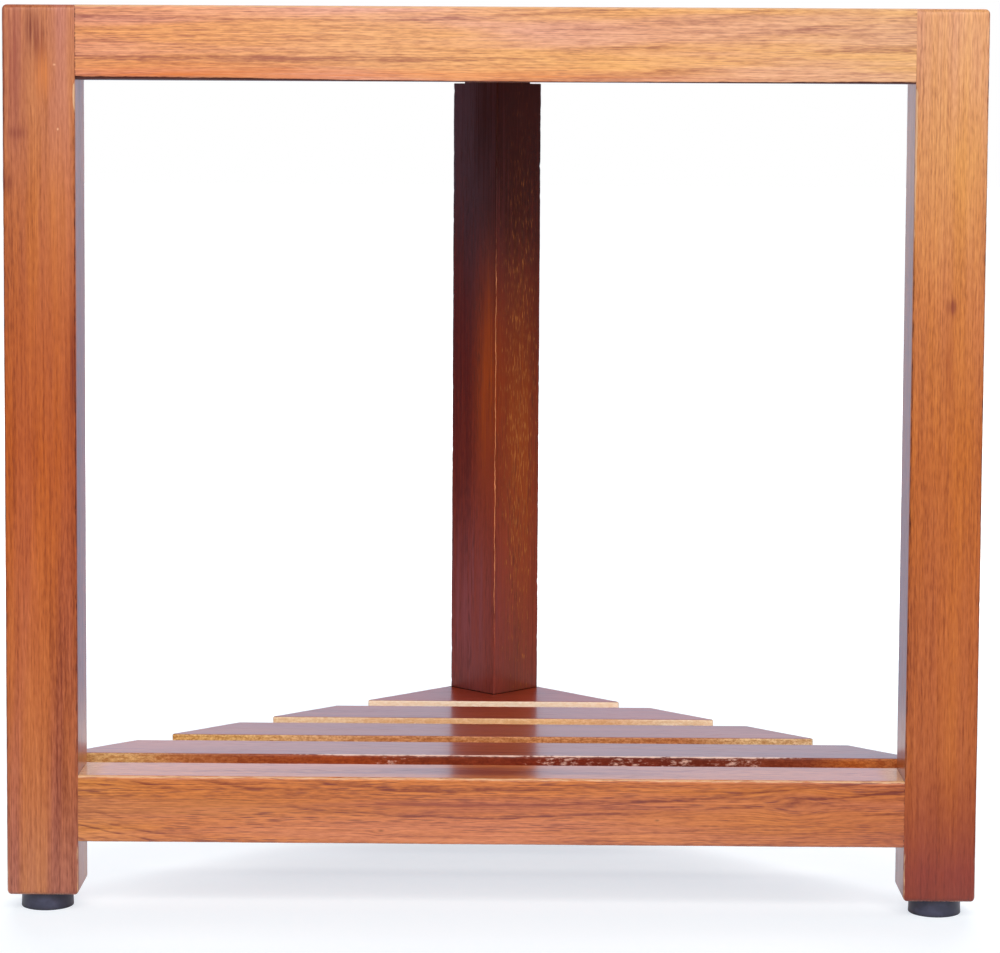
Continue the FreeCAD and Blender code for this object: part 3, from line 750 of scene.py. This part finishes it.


# Front rails: bars between the legs, the seat rail's lower arris more rubbed towards its ends, and darkened with
# painted shade

railShape = {
    "arris": 1.5 * mm, "endArris": 0.15 * mm, "pitch": 1.0 * mm, "unevenShare": 0.18, "seed": 60,
    "jointLine": 0.35 * mm,  # width of the dark line where the rail meets a leg
    "bareEnd": 9 * mm, "bareDepth": 0.6 * mm,  # of the bare patch on the shelf rail's top at each leg
    # The upper front arris is lighter, partly wear and partly painted highlight; the lower front arris is darkened
    # with painted shade.
    "worn": (0.05, 0, 0, 0.75),
    "paintedUnderShade": {"seat": 0.95, "shelf": 0.15},
    "jointDark": {"seat": (0.5, 0.0), "shelf": (0.1, 0.4)},  # left end, right end
    "seatLowerArris": ((-1, 2.4), (-0.7, 2.1), (-0.35, 1.0), (-0.08, 0.55), (0.25, 0.5), (0.6, 0.9), (1, 1.4)),
}

seatRailTeak = {
    "wood": ((-196, 220, 146, 100), (-140, 223, 152, 108), (-60, 224, 161, 123), (80, 220, 157, 105),
             (196, 219, 163, 108)),
    "darkTint": (0.5, 0.36, 0.42, 1), "pore": shade(156, 84, 76), "poreShare": 0.4, "hueShare": 0.8,
    "seed": (7.7, 2.2, 0.4), "pithAcross": -40 * mm, "pithDepth": 90 * mm, "ringWidth": 3.4 * mm,
    "drift": -0.05, "arch": -0.25, "bend": 7 * mm, "lineShare": 0.5, "streakShare": 0.32, "bandShare": 0.4,
    "fibreShare": 0.45, "speckShare": 0.5,
    "patches": ((-140, -14.5, -16, 60, 4, 222, 122, 56, 0.6), (-20, -14.5, -16, 90, 3, 228, 136, 76, 0.5)),
}
shelfRailTeak = {
    "wood": ((-196, 209, 130, 66), (-150, 207, 121, 63), (0, 206, 119, 66), (130, 196, 112, 56),
             (196, 191, 105, 55)),
    "darkTint": (0.42, 0.28, 0.46, 1), "pore": shade(112, 46, 48), "poreShare": 0.8, "hueShare": 0.8,
    "seed": (9.4, 5.1, 0.9), "pithAcross": 32 * mm, "pithDepth": 60 * mm, "ringWidth": 2.2 * mm,
    "drift": 0.02, "arch": -0.45, "bend": 14 * mm, "lineShare": 0.5, "streakShare": 0.42, "bandShare": 0.4,
    "fibreShare": 0.5, "speckShare": 0.5, "polish": 0.95,
    "swirls": ((145, 4, -16, 2.6),),
    # The first patch darkens the middle of the top face: painted shade.
    "patches": ((0, 16, 0, 80, 9, 118, 42, 24, 0.85), (-130, 1, -16, 50, 4, 222, 146, 66, 0.4),
                (-40, 2, -16, 100, 3.5, 172, 88, 58, 0.4)),
    "knots": ((-52, -9.5, -16, 0.9), (79, -3.5, -16, 0.8)),
}


def makeRail(level, shape, look):
    node = level + "_front_rail"
    low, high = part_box(node)
    line, ease = shape["jointLine"], shape["endArris"]
    stations = stationsAlong(low.x, high.x, shape["pitch"], ease, ease,
                             (low.x + line, low.x + 1.3 * line, high.x - line, high.x - 1.3 * line))
    ends = (drawnIn(stations - low.x, ease) + drawnIn(high.x - stations, ease))[:, None]
    radii = arrisRadii(stations, shape, [shape["arris"]] * 4, len(node) + shape["seed"])
    if level == "seat":
        shares, sizes = np.array(shape["seatLowerArris"], float).T
        radii[:, 0] = np.interp(stations / high.x, shares, sizes) * mm
    flat = barRings((low.y, low.z) + ends, (high.y, high.z) - ends, np.maximum(radii - ends, leastRadius))
    rings = np.concatenate([np.broadcast_to(stations[:, None, None], flat.shape[:2] + (1,)), flat], axis=2)
    toEnd = np.minimum(stations - low.x, high.x - stations)[:, None]
    jointDark = np.where(stations < 0, *shape["jointDark"][level])[:, None] * (toEnd < 1.1 * line)
    # painted shade along the lower front arris, strongest on the seat rail
    under = marksOfCorners(rings, (shape["paintedUnderShade"][level], 0, 0, 0), underShares)
    onTop = (rings[..., 2] > high.z - shape["bareDepth"]) & (level == "shelf")
    marks = {"worn": marksOfCorners(rings, shape["worn"]), "stained": np.maximum(under, jointDark),
             "raw": onTop * np.exp(-(toEnd / shape["bareEnd"]) ** 4)}
    makeMember(node, look, (alongX, upright, alongY), [rings], marks)


makeRail("seat", railShape, seatRailTeak)
makeRail("shelf", railShape, shelfRailTeak)
print("front rails made")


# Back leg: turned by 45 degrees, with a rebate on each wall face above a shoulder

backLegShape = {
    "arris": 1.4 * mm, "frontArris": 0.7 * mm, "coreArris": 0.3 * mm, "topArris": 0.2 * mm, "edgeArris": 0.3 * mm,
    "lapDepth": 9 * mm, "pitch": 0.9 * mm, "unevenShare": 0.14, "seed": 80, "nickSeed": 90, "nickCount": 22,
    "nickDepth": 0.45 * mm, "nickWidth": 1.2 * mm, "worn": (0, 0.15, 0.3, 0.15), "stained": (0, 0.6, 0, 0.6),
    "rubbedFrom": 40 * mm, "rubbedTo": 366 * mm, "rubbedFade": 110 * mm,
    "rubbedColumn": 3, "rubbedSwing": 1.4, "rubbedWidth": 0.9,  # the rubbed line wavers across the front arris
}

backLegTeak = {
    "wood": ((-200, 124, 53, 46), (-120, 134, 54, 36), (30, 112, 31, 4), (100, 110, 34, 12), (190, 106, 40, 26)),
    "darkTint": (0.5, 0.4, 0.45, 1), "lightTint": (1.35, 1.5, 1.5, 1), "worn": shade(222, 146, 96),
    "seed": (3.3, 8.8, 1.6), "pithAcross": 70 * mm, "pithDepth": -80 * mm, "ringWidth": 4.8 * mm, "bend": 5 * mm,
    "lineShare": 0.22, "streakShare": 0.7, "poreShare": 0.6, "pore": shade(70, 26, 12), "polish": 0.08,
    "hueShare": 0.3, "fibreShare": 0.6, "speckShare": 0.7, "ior": 1.35,
    # The first two patches darken the top of both front faces: painted shade under the seat.
    "patches": ((180, -17, 0, 85, 22, 90, 62, 72, 1.8), (180, 0, -17, 85, 22, 64, 18, 8, 1.8),
                (25, -17, -10, 55, 8, 168, 70, 4, 0.8), (-20, 2, -17, 90, 12, 160, 72, 4, 0.56),
                (30, -17, 12, 80, 12, 92, 18, 10, 0.6), (-150, 0, -17, 50, 16, 120, 56, 40, 0.6),
                (-110, -17, 2, 50, 18, 138, 70, 72, 0.8)),
    "glints": ((0, 1, -17, 100, 11, 178, 102, 44, 0.36),),
}


def rearPoint(across, along, z):
    # a point in the back leg's own turned frame
    return ((across - along) / rootTwo, backLegY + (across + along) / rootTwo, z)


def makeBackLeg(shape, look):
    low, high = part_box("back_leg")
    half, shoulder = legSection / 2, seatRailLow.z
    stations = stationsAlong(low.z, high.z, shape["pitch"], shape["arris"], shape["topArris"],
                             (shoulder - 0.3 * mm, shoulder, shoulder + 0.01 * mm, shoulder + 0.4 * mm))
    core = stations > shoulder + 0.005 * mm
    ends = drawnIn(stations - low.z, shape["arris"]) + drawnIn(high.z - stations, shape["topArris"])
    edge = drawnIn(np.abs(shoulder - stations), shape["edgeArris"]) * ~core
    lows = np.repeat((ends - half)[:, None], 2, axis=1)
    highs = np.repeat((half - shape["lapDepth"] * core - ends - edge)[:, None], 2, axis=1)
    arrises = [shape["frontArris"]] + [shape["arris"]] * 3
    radii = arrisRadii(stations, shape, arrises, shape["seed"], shape["nickSeed"])
    radii[core, 1:] = shape["coreArris"]
    flat = barRings(lows, highs, np.maximum(radii - ends[:, None], leastRadius))
    upwards = np.broadcast_to(stations[:, None], flat.shape[:2])
    turned = np.stack(rearPoint(flat[..., 0], flat[..., 1], upwards), axis=-1)
    hole = footHoleRings(turned[0], (0, backLegY), low.z, legShape["holeSteps"])
    rings = np.concatenate([hole, turned])
    height = np.pad(stations, (len(hole), 0))
    markShare = fadeBetween(height, shape["rubbedFrom"], shape["rubbedTo"], shape["rubbedFade"])
    column = shape["rubbedColumn"] + shape["rubbedSwing"] * wander(height, 71, (0.04, 0.013, 0.005))
    line = np.exp(-((np.arange(len(cornerTurns)) - column[:, None]) / shape["rubbedWidth"]) ** 2)
    worn = np.maximum(marksOfCorners(rings, (markShare, 0, 0, 0), line), marksOfCorners(rings, shape["worn"]))
    marks = {"worn": worn, "stained": marksOfCorners(rings, shape["stained"])}
    slant = 1 / rootTwo
    makeMember("back_leg", look, (upright, (slant, slant, 0), (-slant, slant, 0)), [rings], marks)


makeBackLeg(backLegShape, backLegTeak)
print("back leg made")


# Slats: plates with their ends cut along the walls, raw on their sawn edges

slatShape = {
    "arris": 0.8 * mm, "lowerArris": 0.3 * mm, "cornerRadius": 1.3 * mm, "pitch": 1.0 * mm, "unevenShare": 0.25,
    "notchClearance": 0.12 * mm, "noseRadius": 4 * mm, "tipArris": 1.7 * mm,
    "tornFrom": -115 * mm, "tornTo": 170 * mm, "tornFade": 45 * mm, "tornDepth": 0.5 * mm,
    "chipsFrom": 4 * mm, "chipsTo": 150 * mm, "chipsShare": 0.38, "lessFrom": -70 * mm, "lessTo": -30 * mm,
}

slatTeak = {
    "wood": ((0, 166, 86, 58),), "worn": shade(238, 202, 186),
    "lineShare": 0.25, "bandShare": 0.35, "polish": 0.8, "ringWidth": 5 * mm, "roughAlong": 380, "bend": 18 * mm,
}
seatTeak = {"wood": ((0, 196, 116, 70),)}
slatLooks = {
    "seat_slat_1": seatTeak, "seat_slat_2": seatTeak, "seat_slat_3": seatTeak, "seat_corner_slat": seatTeak,
    "shelf_slat_1": {
        "polish": 0.9, "rawDark": (0.66, 0.5, 0.4, 1),
        "raw": ((-200, 246, 216, 150), (-178, 238, 202, 138), (-155, 204, 138, 86), (-120, 174, 94, 50),
                (-70, 176, 80, 34), (-35, 144, 64, 36), (30, 130, 42, 20), (100, 120, 46, 30), (155, 146, 70, 42),
                (178, 206, 122, 56), (200, 220, 143, 83)),
        "wood": ((-200, 176, 96, 64), (50, 150, 74, 44), (200, 126, 66, 54))},
    "shelf_slat_2": {
        "polish": 0.75, "rawDark": (0.7, 0.56, 0.44, 1), "fleckShare": 0.75, "wood": ((0, 152, 80, 58),),
        "raw": ((-130, 245, 207, 135), (-95, 244, 200, 146), (-50, 226, 160, 106), (60, 228, 160, 104),
                (95, 212, 140, 88), (130, 248, 214, 160), (160, 250, 224, 178))},
    "shelf_slat_3": {
        "polish": 0.75, "rawDark": (0.88, 0.78, 0.68, 1), "fleckShare": 0.5, "wood": ((0, 150, 67, 43),),
        "raw": ((-85, 250, 226, 190), (-50, 244, 206, 162), (30, 248, 206, 154), (60, 240, 200, 158),
                (90, 253, 234, 204))},
    "shelf_corner_slat": {
        "polish": 0.5, "rawDark": (0.93, 0.86, 0.78, 1), "fleckShare": 0.2, "wood": ((0, 140, 50, 28),),
        "raw": ((0, 255, 238, 216),)},
}


def slatCorners(node, low, high, shape):
    # the outline's corners as (x, y, radius), anticlockwise from the front left one
    rounding, room = shape["cornerRadius"], shape["notchClearance"]
    front, back = wallX(low.y), wallX(high.y)
    corners = [(-front, low.y, rounding), (front, low.y, rounding)]
    if node == "seat_corner_slat":
        return corners + [(0, wallReach, shape["noseRadius"])]
    if node == "shelf_corner_slat":
        sideX, sideY = wallX(backLegY) + room / rootTwo, backLegY - room / rootTwo
        notch = backLegY - legSection / rootTwo - room * rootTwo
        return corners + [(sideX, sideY, 0.5 * mm), (0, notch, 0.3 * mm), (-sideX, sideY, 0.5 * mm)]
    return corners + [(back, high.y, rounding), (-back, high.y, rounding)]


def wearEdge(shape, places, onSide):
    # the first shelf slat's torn front arris: how much more of it is gone, how rubbed it is, and chips below it
    jagged = np.convolve(np.random.default_rng(5).uniform(0, 1, len(places)), (0.2, 0.6, 0.2), "same")
    broad = 0.5 + 0.5 * wander(places, 17, (0.03, 0.011, 0.004), (0.4, 0.35, 0.25))
    torn = fadeBetween(places, shape["tornFrom"], shape["tornTo"], shape["tornFade"]) * onSide
    chips = shape["chipsShare"] * (0.8 + 0.4 * wander(places, 8, (0.03, 0.012, 0.005)))
    here = (fadeBetween(places, shape["chipsFrom"], shape["chipsTo"], 20 * mm)
            + 0.8 * fadeBetween(places, shape["lessFrom"], shape["lessTo"], 15 * mm))
    gone = shape["tornDepth"] * torn * broad * (0.4 + jagged)
    return gone, torn * np.clip(0.3 + 0.55 * broad + 0.4 * jagged, 0, 1), chips * here * onSide


def makeSlat(node, shape, look, number):
    low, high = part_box(node)
    points, normals, sides = softPath(slatCorners(node, low, high, shape), True, shape["pitch"])
    onFront = (sides == 0) | ((sides < 0) & (normals[:, 1] < -0.7))
    uneven = 1 + shape["unevenShare"] * wander(points[:, 0] + 2 * points[:, 1], 300 + number)
    ease = np.where((sides < 0) & onFront, shape["tipArris"], shape["arris"] * uneven)
    gone = torn = chips = np.zeros(len(points))
    if node == "shelf_slat_1":
        gone, torn, chips = wearEdge(shape, points[:, 0], sides == 0)
    grid, rank = plateGrid(points, normals, low.z, high.z, shape["lowerArris"], ease + gone)
    rank = rank[:, None]
    raw = np.where(onFront, 1.0, 0.7) * ((rank > -0.5) & (rank < 0.9))
    worn = torn * ((rank > 0.75) & (rank < 1.5)) + chips * ((rank > 0) & (rank < 0.65))
    draw = np.random.default_rng(500 + number)
    own = {"seed": tuple(draw.uniform(0, 9, 3)), "pithAcross": draw.uniform(-60, 60) * mm,
           "pithDepth": draw.uniform(-50, -18) * mm, "drift": draw.uniform(-0.06, 0.06)}
    makeMember(node, {**slatTeak, **own, **look}, (alongX, alongY, upright), [grid],
               {"raw": raw, "worn": worn})


for slatNumber, (slatNode, slatLook) in enumerate(slatLooks.items()):
    makeSlat(slatNode, slatShape, slatLook, slatNumber)
print("slats made")


# Battens: plates along the walls, mitred at the front leg, tongued into the back leg's rebates at the seat

battenShape = {"width": 20 * mm, "arris": 0.5 * mm, "corner": 0.4 * mm, "lapDepth": 9 * mm, "pitch": 3 * mm,
               "unevenShare": 0.3}

battenTeak = {"wood": ((0, 180, 98, 60),), "ringWidth": 4.6 * mm, "pithDepth": 40 * mm, "lineShare": 0.3}


def battenCorners(level, high, shape):
    # the right batten's outline, anticlockwise from its inner front corner
    width, rear, lap = shape["width"], rightLegHigh.y, shape["lapDepth"]
    legCornerY = wallReach - legSection / rootTwo
    shoulderY = legCornerY - width / rootTwo
    corners = [(wallX(rear, width), rear), (wallX(rear), rear)]
    if level == "seat":
        tongueY = legCornerY - lap / rootTwo
        corners += [(wallX(high.y), high.y), (0, high.y), (0, wallReach - lap * rootTwo),
                    (wallX(tongueY, lap), tongueY)]
    else:
        corners += [(wallX(legCornerY), legCornerY)]
    return corners + [(wallX(shoulderY, width), shoulderY)]


def makeBatten(level, side, shape, number):
    node = level + "_" + side + "_batten"
    low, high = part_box(node)
    corners = battenCorners(level, high, shape)
    hand = 1 if side == "right" else -1
    corners = [(hand * x, y, shape["corner"]) for x, y in corners[::hand]]
    points, normals = softPath(corners, True, shape["pitch"])[:2]
    arris = shape["arris"] * (1 + shape["unevenShare"] * wander(points[:, 1], 700 + number))
    grid = plateGrid(points, normals, low.z, high.z, arris, arris)[0]
    look = {"seed": (number * 3.1, number * 1.7, 0.5), "pithAcross": (number - 1.5) * 25 * mm, **battenTeak}
    slant = 1 / rootTwo
    makeMember(node, look, ((-hand * slant, slant, 0), upright, (hand * slant, slant, 0)), [grid])


for battenNumber in range(4):
    makeBatten(("seat", "shelf")[battenNumber // 2], ("left", "right")[battenNumber % 2], battenShape, battenNumber)
print("battens made")


# Fasteners: countersunk screws with square sockets, and the plugs over the long ones

nearAxis = 0.02 * mm
screwShape = {"columns": 24, "threadPitch": 1.6 * mm, "threadDepth": 0.25 * mm, "socketDepth": 1.2 * mm,
              "proud": 0.12 * mm, "pointLength": 4 * mm}
screwSizes = {  # shank radius, head radius and length
    "slat": (1.75 * mm, 3.5 * mm, 28 * mm), "lap": (1.75 * mm, 3.5 * mm, 22 * mm),
    "leg": (2.25 * mm, 4.25 * mm, 50 * mm),
}
plugShape = {"radius": 5 * mm, "depth": 8 * mm, "arris": 0.25 * mm, "proud": 0.1 * mm, "columns": 40}


def squareSocket(turn, half):
    # the radius of a square's edge in the direction of turn: half / the larger of |cos| and |sin|
    return half / np.maximum(np.abs(np.cos(turn)), np.abs(np.sin(turn)))


def screwGrid(size, shape):
    # a screw along +Z, its head's flat face at Z 0, with the thread's ridge along the shank
    radius, headRadius, length = size
    half, socket = headRadius * 0.25, shape["socketDepth"]
    point = length - shape["pointLength"]
    shank = np.arange(headRadius - radius + shape["threadPitch"], point, shape["threadPitch"] / 4)
    profile = [(nearAxis, socket), (half, socket), (half, 0), (headRadius * 0.94, 0), (headRadius, 0.2 * mm),
               (headRadius - 0.05 * mm, 0.35 * mm), (radius, headRadius - radius)]
    profile += [(radius, z) for z in shank] + [(radius, point), (radius * 0.3, length), (nearAxis, length)]

    def ridge(turn, height):
        wave = triangleWave(turn, height, shape["threadPitch"])
        change = shape["threadDepth"] * wave * ((height > shank[0]) & (height < shank[-1]))
        change[1:3] = squareSocket(turn, half) - half
        return change
    grid = turnedGrid(np.array(profile), shape["columns"], ridge=ridge)
    grid[..., 2] -= shape["proud"]
    return grid


def aimGrid(grid, place, direction):
    # turns +Z to the direction and moves the origin to the place
    turn = np.array(Vector(upright).rotation_difference(Vector(direction)).to_matrix())
    return grid @ turn.T + np.array(place)


def metalFinish(name, colour, roughness, wear):
    # bare metal with fine turning marks round Z and a dull bloom
    paint = newPaint(name)
    seen = addNode("TexCoord")["Object"]
    bloom = cloud(seen, (300, 300, 300), 3.0, 0.6)
    marks = cloud(seen, (500, 500, 9000), 1.0)
    rough = timesPlus(minus(bloom, 0.5), wear, roughness)
    dull = tuple(0.7 * part for part in colour[:3]) + (1,)
    colour = tint(ramp(bloom, 0.3, 0.8), colour, dull)
    closePaint(colour, rough, marks, 0.15, 0.05 * mm, Metallic=1.0)
    return paint


steel = metalFinish("stainless screw", shade(196, 194, 190), 0.34, 0.2)
brass = metalFinish("brass insert", shade(206, 164, 88), 0.36, 0.25)


def makeScrews(node, size, places, directions):
    # every screw of a node, each aimed along its own direction
    screw = screwGrid(screwSizes[size], screwShape)
    makePiece(node, steel, [aimGrid(screw, *aim) for aim in zip(places, directions)])


slatScrewSetback = 12 * mm  # from the corner slat's front edge
for level in ("seat", "shelf"):
    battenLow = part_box(level + "_right_batten")[0]
    rows = [sum(corner.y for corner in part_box(level + "_slat_" + str(number))) / 2 for number in (1, 2, 3)]
    rows.append(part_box(level + "_corner_slat")[0].y + slatScrewSetback)
    spots = [(sign * wallX(y, battenShape["width"] / 2), y, battenLow.z) for y in rows for sign in (1, -1)]
    makeScrews(level + "_slat_screws", "slat", spots, [upright] * len(spots))


def crossedPair(across, along, node):
    # places in the back leg's right and left; the screws cross inside it, so the right one stands higher
    low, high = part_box(node)
    x, y, z = rearPoint(across, along, (low.z + high.z) / 2)
    return [(x, y, z + crossing), (-x, y, z - crossing)]


crossing = 5 * mm
laps = crossedPair(legSection / 2, -battenShape["lapDepth"] / 2, "seat_right_batten")
makeScrews("seat_lap_screws", "lap", laps, [(-1, -1, 0), (1, -1, 0)])
heads = crossedPair((legSection - battenShape["width"]) / 2, legSection / 2 - plugShape["depth"],
                    "shelf_right_batten")
makeScrews("shelf_batten_screws", "leg", heads, [(1, -1, 0), (-1, -1, 0)])


def makePlugs(shape):
    # round plugs with a softened rim, a hair proud of the back leg's wall faces
    radius, arris, depth = shape["radius"], shape["arris"], shape["depth"]
    turn = np.linspace(0, np.pi / 2, 5)
    rim = np.stack([radius - arris * (1 - np.cos(turn)), depth - arris * (1 - np.sin(turn))], 1)
    profile = np.concatenate([[(nearAxis, 0.1 * mm), (radius, 0.1 * mm)], rim,
                              [(radius - 2 * arris, depth), (nearAxis, depth)]])
    profile[2:, 1] += shape["proud"]
    plug = turnedGrid(profile, shape["columns"])
    grids = [aimGrid(plug, place, direction) for place, direction in zip(heads, ((-1, 1, 0), (1, 1, 0)))]
    look = {"wood": ((0, 172, 94, 58),), "ringWidth": 2.2 * mm, "pithAcross": 12 * mm, "pithDepth": 6 * mm}
    middle = (0, heads[0][1], heads[0][2] - crossing)
    paint = teakFinish("teak plug", look, middle, (alongY, alongX, upright))
    makePiece("back_leg_plugs", paint, grids)


makePlugs(plugShape)

dowelBeech = {
    "wood": ((0, 216, 180, 136),), "pore": shade(176, 134, 92), "darkTint": (0.7, 0.62, 0.55, 1),
    "lightTint": (1.1, 1.15, 1.2, 1), "lineShare": 0.12, "polish": 0.0, "ringWidth": 2 * mm,
}
for node in ("seat_rail_dowels", "shelf_rail_dowels", "batten_dowels"):
    dowels = frame["nodes"][node]
    axes = (alongY, alongX, upright) if node == "batten_dowels" else (alongX, alongY, upright)
    dowels.data.materials.clear()
    dowels.data.materials.append(teakFinish("beech " + node.replace("_", " "), dowelBeech, (0, 0, 0.2), axes))
print("screws, plugs and dowels made")


# Feet: a moulded pad on a threaded stud, which turns in a brass insert in the leg's end

footShape = {
    "height": 8.5 * mm, "gap": 0.3 * mm, "radius": 12.5 * mm, "topRadius": 12.2 * mm, "rim": 0.35 * mm,
    "floor": 2 * mm, "columns": 96, "boreClearance": 0.08 * mm,
    "studRadius": 4 * mm, "threadPitch": 1.25 * mm, "threadDepth": 0.6 * mm, "engagement": 22 * mm,
    "flangeRadius": 7 * mm, "flangeThickness": 1.6 * mm, "studColumns": 48, "tipTaper": 1 * mm,
    "insertRadius": 6 * mm, "insertLength": 14 * mm, "insertFlangeRadius": 8.5 * mm,
    "insertFlange": 1.5 * mm, "knurlCount": 24, "knurlDepth": 0.2 * mm,
}


def rubberFinish():
    # black moulded rubber with a faint bluish bloom, scuffed where it meets the floor
    paint = newPaint("foot rubber")
    seen = addNode("TexCoord")["Object"]
    grain = cloud(seen, (1400, 1400, 1400), 3.0, 0.6)
    bloom = cloud(seen, (110, 110, 160), 3.0, 0.55)
    height = addNode("SeparateXYZ", {0: seen})["Z"]
    scuffed = minus(1.0, ramp(height, 0.2 * mm, 2.2 * mm))
    colour = tint(ramp(bloom, 0.35, 0.75), shade(52, 54, 73), shade(73, 75, 98))
    colour = tint(times(scuffed, grain), colour, shade(30, 28, 32))
    closePaint(colour, timesPlus(bloom, 0.18, 0.33), grain, 0.18, 0.1 * mm)
    return paint


footRubber = rubberFinish()


def makeFoot(leg, shape):
    low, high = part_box(leg + "_foot_pad")
    centre = ((low.x + high.x) / 2, (low.y + high.y) / 2)
    foot, bottom, rim, radius = shape["height"], shape["floor"], shape["rim"], shape["studRadius"]
    bore, pocket = radius + shape["boreClearance"], shape["flangeRadius"] + shape["boreClearance"]
    top, flangeTop = foot - shape["gap"], bottom + shape["flangeThickness"]
    pocketTop, crease = flangeTop + shape["boreClearance"], 0.05 * mm
    outline = [(nearAxis, 0, 0), (shape["radius"], 0, rim), (shape["topRadius"], top, rim),
               (bore, top, 0.3 * mm), (bore, pocketTop, crease), (pocket, pocketTop, crease),
               (pocket, bottom, crease), (nearAxis, bottom, 0)]
    profile = softPath(outline, False, 1.2 * mm)[0]
    pad = makePiece(leg + "_foot_pad", footRubber, [turnedGrid(profile, shape["columns"], centre)])
    under = paleFloor.constraints.new("FLOOR")  # the floor sinks with a foot that is screwed out
    under.target = pad
    under.floor_location = "FLOOR_NEGATIVE_Z"

    tip = foot + shape["engagement"]
    start, stop = flangeTop + 0.6 * mm, tip - shape["tipTaper"]
    threaded = np.arange(start, stop, shape["threadPitch"] / 10)
    flange = softPath([(nearAxis, bottom, 0), (shape["flangeRadius"], bottom, 0.2 * mm),
                       (shape["flangeRadius"], flangeTop, 0.3 * mm), (radius, flangeTop, 0.1 * mm),
                       (radius, start, 0)], False)[0]
    profile = np.concatenate([flange, np.stack([np.full(len(threaded), radius), threaded], 1),
                              [(radius - shape["tipTaper"], tip), (nearAxis, tip)]])

    def thread(turn, height):
        # the wave is cut inwards from the shank's radius and fades at its ends
        fade = np.clip((height - start) / mm, 0, 1) * np.clip((stop - height) / mm, 0, 1)
        return -shape["threadDepth"] * triangleWave(turn, height, shape["threadPitch"]) * fade * (height > start)
    makePiece(leg + "_foot_stud", steel, [turnedGrid(profile, shape["studColumns"], centre, thread)])

    wide, barrel = shape["insertFlangeRadius"], shape["insertRadius"]
    ledge, end = foot + shape["insertFlange"], foot + shape["insertLength"]
    outer = softPath([(bore, foot, 0.1 * mm), (wide, foot, 0.15 * mm), (wide, ledge, 0.1 * mm),
                      (barrel, ledge, 0.1 * mm), (barrel, end, 0.3 * mm), (bore, end, 0.1 * mm)], True, 0.8 * mm)[0]

    def knurl(turn, height):
        # ribs along the barrel: depth * |sin(half the rib count * turn)|, cut inwards
        ribs = shape["knurlDepth"] * np.abs(np.sin(shape["knurlCount"] * turn / 2))
        return -ribs * (height > foot + 2.2 * mm) * (height < end - 0.6 * mm) * (outer[:, :1] > bore + 1 * mm)
    makePiece(leg + "_foot_insert", brass, [turnedGrid(outer, shape["columns"], centre, knurl)], looped=True)


for leg in ("front_left", "front_right", "back"):
    makeFoot(leg, footShape)
print("feet made")
